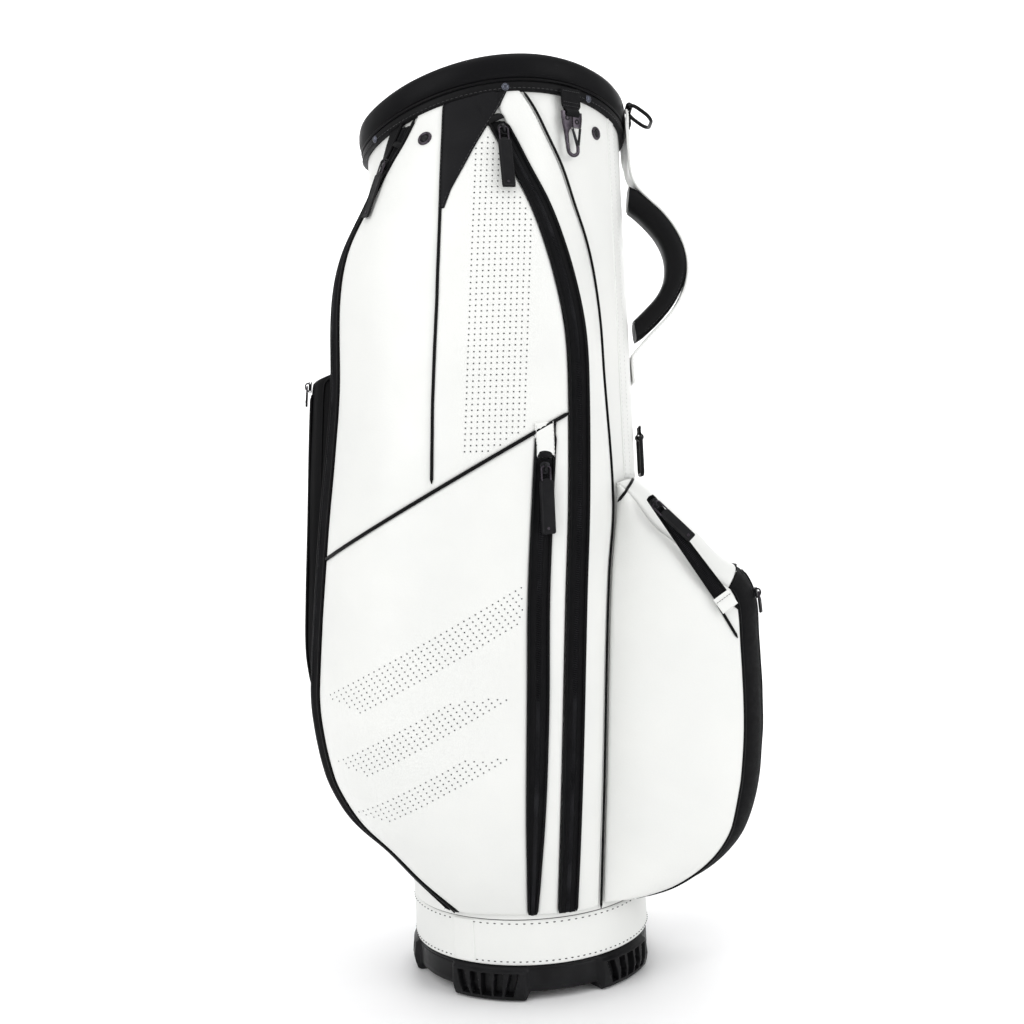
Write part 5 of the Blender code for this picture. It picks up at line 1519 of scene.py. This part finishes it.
def handle():
    """Padded grip, the strap sewn over it, and their stitching."""
    line = smooth_line([(x, 0.0, z) for x, z in GRIP_PATH], 90)
    _, n = swept_frames(line)
    if n[45][0] < 0:
        n = -n
    s = np.linspace(0, 1, 90)
    a = 2 * math.pi * np.arange(40) / 40
    c, w = np.cos(a), np.sin(a)
    x = np.sign(c) * np.abs(c) ** 0.72
    y = np.sign(w) * np.abs(w) ** 0.62
    cover = 1 - ease((s - 0.50) / 0.16)          # the sleeve also hides the strap up to the apex
    near_end = np.maximum(ease((0.05 - s) / 0.05), ease((s - 0.95) / 0.05))[:, None]
    up = unit(np.stack([n[:, 0] * 0.15, 0 * s, np.sign(n[:, 2])], axis=1))
    m = unit(n * (1 - near_end) + up * near_end)
    reach = np.where(x[None] > 0, 0.0100 + 0.0038 * cover[:, None], 0.0100)
    loops = (line[:, None] + m[:, None] * (reach * x[None])[..., None]
             + np.array((0, 1.0, 0)) * (0.0166 * y)[None, :, None])
    out = unit(loops - line[:, None])
    loops = loops + out * (0.0003 * wobble(loops, 0.03, 71))[..., None]
    ob = Heap().add(*skin(loops)).done("handle_grip_padded", BLACK, "black_leathercloth",
                                       nodes=["handle_grip"], sharp=70)
    seam = Heap()
    for sy in (-1, 1):
        q = line + n * 0.0068 + (0, sy * 0.0150, 0)
        stitches(seam, q[4:-4], unit(n * 0.5 + np.array((0, sy, 0)))[4:-4], 0.0040, 0.0027, 0.0003)
    seam.done("handle_grip_thread", BLACK_THREAD, "black_leathercloth")
    up = [(0.1394, 0.8690), (0.1394, 0.8540), (0.1394, 0.8400), (0.1392, 0.8240), (0.1392, 0.8060),
          (0.1440, 0.7925)]
    low = [(0.1408, 0.6270), (0.1320, 0.6160), (0.1318, 0.5880)]
    top = line + n * 0.0112
    pts = ([(x, 0.0, z) for x, z in up] + [tuple(p) for p in top[8:-8:9]]
           + [(x, 0.0, z) for x, z in low])
    strap = smooth_line(pts, 260)
    _, m = swept_frames(strap)
    if m[130][0] < 0:
        m = -m
    run = np.linalg.norm(np.diff(strap, axis=0), axis=1).sum() * np.linspace(0, 1, len(strap))
    half = np.interp(run, (0.0, 0.004, 0.016, 0.030, 0.046, 0.062, 0.080),
                     (0.0190, 0.0262, 0.0330, 0.0345, 0.0300, 0.0205, 0.0142))
    bow = np.interp(run, (0.0, 0.050, 0.080), (1.0, 1.0, 0.0))
    across = np.linspace(-1, 1, 25)
    pile = 0.0012 * np.clip((1 - np.abs(across)) / 0.08, 0.25, 1.0) ** 0.5
    loops = []
    for k in range(len(strap)):
        y = across * half[k]
        curl = bow[k] * (np.sqrt(STRAP_BEND ** 2 - y * y) - STRAP_BEND)
        rest = strap[k] + m[k] * 0.0012 + np.stack([curl, y, 0 * y], axis=1)
        rest = rest + m[k] * (0.0004 * wobble(rest, 0.018, 77) * bow[k])[:, None]
        loops.append(np.concatenate([rest + m[k] * pile[:, None], (rest - m[k] * pile[:, None])[::-1]]))
    ob = Heap().add(*skin(loops)).done("handle_strap_sewn", WHITE, "white_leathercloth",
                                       nodes=["handle_strap"], sharp=60)
    thread = Heap()
    for sy in (-1, 1):
        y = sy * (half - 0.0026)
        curl = bow * (np.sqrt(STRAP_BEND ** 2 - y * y) - STRAP_BEND)
        q = strap + m * 0.0026 + np.stack([curl, y, 0 * y], axis=1)
        stitches(thread, q[3:-3], m[3:-3], 0.0042, 0.0029, 0.0003)
    thread.done("handle_strap_thread", THREAD, "white_leathercloth")
    box = Heap()
    x, w, z0, z1 = 0.1343, 0.0095, 0.5900, 0.6130    # face, half width, foot and head of the cross
    frame_line = [(x, -w, z0), (x, w, z0), (x, w, z1), (x, -w, z1),
                  (x, -w, z0), (x, w, z1), (x, w, z0), (x, -w, z1)]
    for q0, q1 in zip(frame_line, frame_line[1:]):
        q = np.linspace(q0, q1, 12)
        stitches(box, q, np.broadcast_to((1.0, 0, 0), q.shape), 0.0034, 0.0025, 0.00032)
    box.done("handle_anchor_thread", THREAD, "white_leathercloth")


handle()


# ---- strap rings, webbing tabs, snap hook -----------------------------------------
def wire_ring(name, hinge, down, w, h, r, body, node, drop, wire=0.0019):
    """Ring of bent wire hanging from its hinge."""
    path = rounded(w, h, r, 10)
    down = np.array(down, float)
    p = np.array([np.array(hinge) + (0, a, 0) + down * (drop - b) for a, b in path])
    heap = Heap()
    tube(heap, evenly(np.concatenate([p, p[:1]]), 0.0016)[:-1], wire, 14, closed=True)
    heap.done(name, MOULD, "moulded_black", body=body, nodes=[node], sharp=80)


def eye(name, pin, tail, face, length, width, node, spread=0.0):
    """Folded webbing: an eye round the wire and a two-layer tail sewn down."""
    x, out = unit(tail), unit(face)
    y = np.cross(out, x)
    inner, thick = 0.0027, 0.0011
    turn = np.radians(np.linspace(24, 336, 30))
    mid = inner + thick / 2
    path = ([(length - d, thick * 0.55) for d in np.linspace(0, length - 0.0055, 10)]
            + [(mid * math.cos(a), mid * math.sin(a)) for a in turn]
            + [(length - d, -thick * 0.55) for d in np.linspace(length - 0.0055, 0.0015, 10)])
    line = evenly(smooth_line([np.array(pin) + x * a + out * b for a, b in path], 90), 0.0009)
    t = unit(np.gradient(line, axis=0))
    n = np.cross(t, y)
    sec = rounded(width, thick * 0.92, 0.00045, 3)
    far = np.clip(((line - np.array(pin)) @ x - 0.002) / 0.006, 0, 1)
    grow = 1 + (max(spread, width) / width - 1) * ease(far)
    loops = [line[k] + sec[:, :1] * y * grow[k] + sec[:, 1:] * n[k] for k in range(len(line))]
    width = max(spread, width)
    ob = Heap().add(*skin(loops)).done(name, CLOTH, "black_cloth", nodes=[node], sharp=50)
    thread = Heap()
    at = np.array(pin)
    for a in (0.0065, 0.0100, length - 0.0030):
        q = at + x * a + out * (thick * 1.15) + y * np.linspace(-0.40, 0.40, 14)[:, None] * width
        stitches(thread, q, np.broadcast_to(out, q.shape), 0.0026, 0.0019, 0.00030)
    thread.done(name + "_thread", BLACK_THREAD, "black_cloth")


RING_HINGE, RING_DOWN = (0.1430, 0.0, 0.8760), unit(np.array((0.78, 0.0, -0.62)))
LOW_HINGE = (0.1372, 0.0, 0.5325)
wire_ring("strap_ring_wire", RING_HINGE, RING_DOWN, 0.0360, 0.0280, 0.0110, "shoulder_ring",
          "strap_ring", 0.0140)
eye("strap_ring_webbing", RING_HINGE, (0, 0, -1), (1, 0, 0), 0.0200, 0.0178, "strap_ring_tab")
wire_ring("side_ring_wire", LOW_HINGE, (0, 0, -1), 0.0320, 0.0390, 0.0050, "side_ring",
          "lower_ring", 0.0195)
eye("side_ring_webbing", LOW_HINGE, (0, 0, 1), (1, 0, 0), 0.0120, 0.0198, "lower_ring_tab")


def snap_hook():
    """Wedge-shaped clip: broad head with two eyelets, tapering to a long closed loop."""
    az = math.radians(33.0)
    out = np.array((math.sin(az), -math.cos(az), 0.0))
    side = np.array((math.cos(az), math.sin(az), 0.0))
    up = np.array((0.0, 0.0, 1.0))
    pin = polar(az, TRUNK_R + 0.0080, 0.8345)
    eye("hook_webbing_folded", pin, up, out, 0.0235, 0.0150, "hook_webbing", spread=0.0215)

    def half_width(z):
        return np.interp(z, (-0.0400, -0.0378, -0.0340, -0.0180, -0.0045, 0.0017),
                         (0.0034, 0.0060, 0.0074, 0.0093, 0.0116, 0.0116))

    body = Heap()
    slot_share = lambda z: float(np.interp(z, (-0.0368, -0.0345, -0.0200, -0.0165, -0.0130),
                                           (0.36, 0.56, 0.54, 0.40, 0.02)))
    zs = np.concatenate([np.linspace(-0.0350, -0.0136, 26), np.linspace(-0.0128, 0.0013, 12)])
    for sgn in (-1, 1):
        rows = []
        for z in (zs if sgn < 0 else zs[zs > -0.0130]):
            w = float(half_width(z))
            inner = slot_share(z) * w
            mid, half = (w + inner) / 2, (w - inner) / 2
            sec = rounded(2 * half, 0.0029, 0.0009, 3)
            rows.append(pin + up * z + side * (sgn * mid + sec[:, :1]) + out * sec[:, 1:])
        body.add(*skin(rows))
    turn = np.radians(np.linspace(180, 360, 24))
    path = np.array([pin - up * 0.0344 + side * 0.0057 * math.cos(a) + up * 0.0050 * math.sin(a)
                     for a in turn])
    tube(body, path, 0.00180, 12, up=np.broadcast_to(out, path.shape), flat=0.85)
    stub = np.array([pin + side * 0.0057 - up * z for z in (0.0344, 0.0325, 0.0302)])
    tube(body, stub, 0.0018, 12, up=np.broadcast_to(out, stub.shape), flat=0.85)
    body.done("snap_hook_body", GUN, "gunmetal", body="clip", nodes=["hook_body"], sharp=45)
    rims = Heap()
    for a, b in ((-0.0058, -0.0050), (0.0050, -0.0076)):
        turned_at(rims, pin + side * a + up * b + out * 0.0012, out,
                  ((0.0024, 0.0), (0.0024, 0.0007), (0.0019, 0.0010), (0.0014, 0.0003),
                   (0.0004, 0.00005)), 20)
    rims.done("snap_hook_rivets", DARK, "gunmetal", body="clip")
    gate = Heap()
    z = np.linspace(-0.0292, -0.0134, 18)
    path = pin + side * np.interp(z, (-0.0292, -0.0134), (0.0066, 0.0094))[:, None] + up * z[:, None]
    tube(gate, path, 0.0013, 10, up=np.broadcast_to(out, path.shape), flat=1.0)
    z = np.linspace(-0.0300, -0.0140, 18)
    path = pin + side * np.interp(z, (-0.0300, -0.0140), (0.0056, 0.0006))[:, None] + up * z[:, None]
    tube(gate, path, np.linspace(0.0017, 0.0012, 18), 12, up=np.broadcast_to(out, path.shape),
         flat=0.8)
    gate.done("snap_hook_gate_bar", DARK, "gunmetal", body="clip_gate", nodes=["hook_gate"])


snap_hook()


# ---- rivets and press studs -------------------------------------------------------
def fixings():
    """Rivets of the collar and the two press studs."""
    dome_levels = ((0.0036, -0.0004), (0.0036, 0.0002), (0.0033, 0.0005), (0.0030, 0.0006),
                   (0.0028, 0.0011), (0.0022, 0.0016), (0.0012, 0.0019), (0.0004, 0.0020))
    for tag, deg in (("left", -58.0), ("mid", 6.0), ("right", 43.5)):
        az = math.radians(deg)
        z = rim(az) - COLLAR_H - 0.0008 - LIP_H * 0.62
        heap = Heap()
        turned_at(heap, polar(az, TRUNK_R + 0.0056, z), polar(az, 1.0, 0.0), dome_levels, 28)
        heap.done("collar_rivet_" + tag, NICKEL, "bright_nickel", nodes=["lip_rivet_" + tag],
                  sharp=40)
    for tag, az, r, z, size in (("left", 0.0, None, 0.8146, 0.0068),
                                ("right", math.radians(50.0), TRUNK_R + 0.0006, 0.8250, 0.0060)):
        if r is None:
            p, n = near_normal(near_panel, at_x(np.array(-0.0632), np.array(z)), np.array(z))
            base, out = near_skin.lay(p, n, 0.0003), n
        else:
            base, out = polar(az, r, z), polar(az, 1.0, 0.0)
        cap, core = Heap(), Heap()
        turned_at(cap, base, out, ((size * 1.06, -0.0010), (size * 1.06, 0.0004), (size, 0.0010),
                                   (size * 0.88, 0.0014), (size * 0.72, 0.0012),
                                   (size * 0.62, 0.0006), (size * 0.60, 0.0001)), 32)
        turned_at(core, base, out, ((size * 0.60, -0.0002), (size * 0.56, 0.0005),
                                    (size * 0.34, 0.0011), (size * 0.12, 0.0013)), 28)
        cap.done(f"press_stud_{tag}_cap", GUN, "gunmetal", nodes=["stud_" + tag], sharp=40)
        core.done(f"press_stud_{tag}_core", DARK, "gunmetal", sharp=50)


fixings()
for node in ("stay_a", "stay_b"):
    for held in frame["nodes"][node].material_slots:
        held.material = GREY


# ---- floor and light --------------------------------------------------------------
def stage():
    mat = Nodes("pale_floor", rough=0.55)
    mat.colour(mat.noise(3.0), [(0.3, (0.93, 0.93, 0.935)), (0.7, (0.95, 0.95, 0.955))])
    mat.rough(mat.span(mat.noise(20.0), 0.48, 0.60, 0.3, 0.7))
    mat.bump((mat.noise(300.0), 0.0001, 0.1),)
    floor = Heap()
    x = np.linspace(-4.0, 4.0, 60)[:, None]
    s = np.linspace(-4.0, 7.0, 140)[None]
    y = np.where(s < 2.2, s, 2.2 + 1.2 * np.sin(np.clip((s - 2.2) / 1.2, 0, math.pi / 2)))
    z = np.where(s < 2.2, 0.0, 1.2 * (1 - np.cos(np.clip((s - 2.2) / 1.2, 0, math.pi / 2))))
    z = z + np.clip(s - 2.2 - 1.2 * math.pi / 2, 0, None)
    p = stack(x - TX, y, z)
    floor.add(p, grid_faces(60, 140).tolist())
    mesh = bpy.data.meshes.new("floor")
    mesh.from_pydata((floor.verts[0]).tolist(), [], floor.faces)
    mesh.shade_smooth()
    mesh.materials.append(mat.mat)
    ob = bpy.data.objects.new("floor", mesh)
    bpy.context.scene.collection.objects.link(ob)


stage()


def light(name, at, look, size, power, tint=(1.0, 1.0, 1.0)):
    """Area light at a place, aimed at a point."""
    data = bpy.data.lights.new(name, "AREA")
    data.shape, data.size, data.size_y, data.energy, data.color = "RECTANGLE", size[0], size[1], power, tint
    ob = bpy.data.objects.new(name, data)
    at, look = np.array(at, float), np.array(look, float)
    z = unit(at - look)
    x = unit(np.cross((0, 0, 1.0), z))
    y = np.cross(z, x)
    ob.matrix_world = Matrix([[x[0], y[0], z[0], at[0]], [x[1], y[1], z[1], at[1]],
                              [x[2], y[2], z[2], at[2]], [0, 0, 0, 1]])
    bpy.context.scene.collection.objects.link(ob)


light("softbox_left", (-1.6, -1.5, 1.3), (0, 0, 0.45), (1.3, 1.8), 17.0)
light("softbox_right", (1.7, -1.3, 1.1), (0, 0, 0.45), (1.2, 1.8), 14.0)
light("softbox_top", (0.0, -0.4, 2.4), (0, 0, 0.4), (1.8, 1.8), 12.0)
light("softbox_back", (0.4, 1.9, 1.6), (0, 0, 0.5), (1.6, 1.4), 12.0)
light("backdrop_wash", (0.0, 1.5, 2.4), (0.0, 3.6, 0.9), (3.2, 0.8), 55.0)
world = bpy.data.worlds.new("studio")
world.use_nodes = True
world.node_tree.nodes["Background"].inputs["Color"].default_value = (1.0, 1.0, 1.0, 1.0)
world.node_tree.nodes["Background"].inputs["Strength"].default_value = 0.70
bpy.context.scene.world = world
bpy.context.scene.view_settings.view_transform = "Standard"
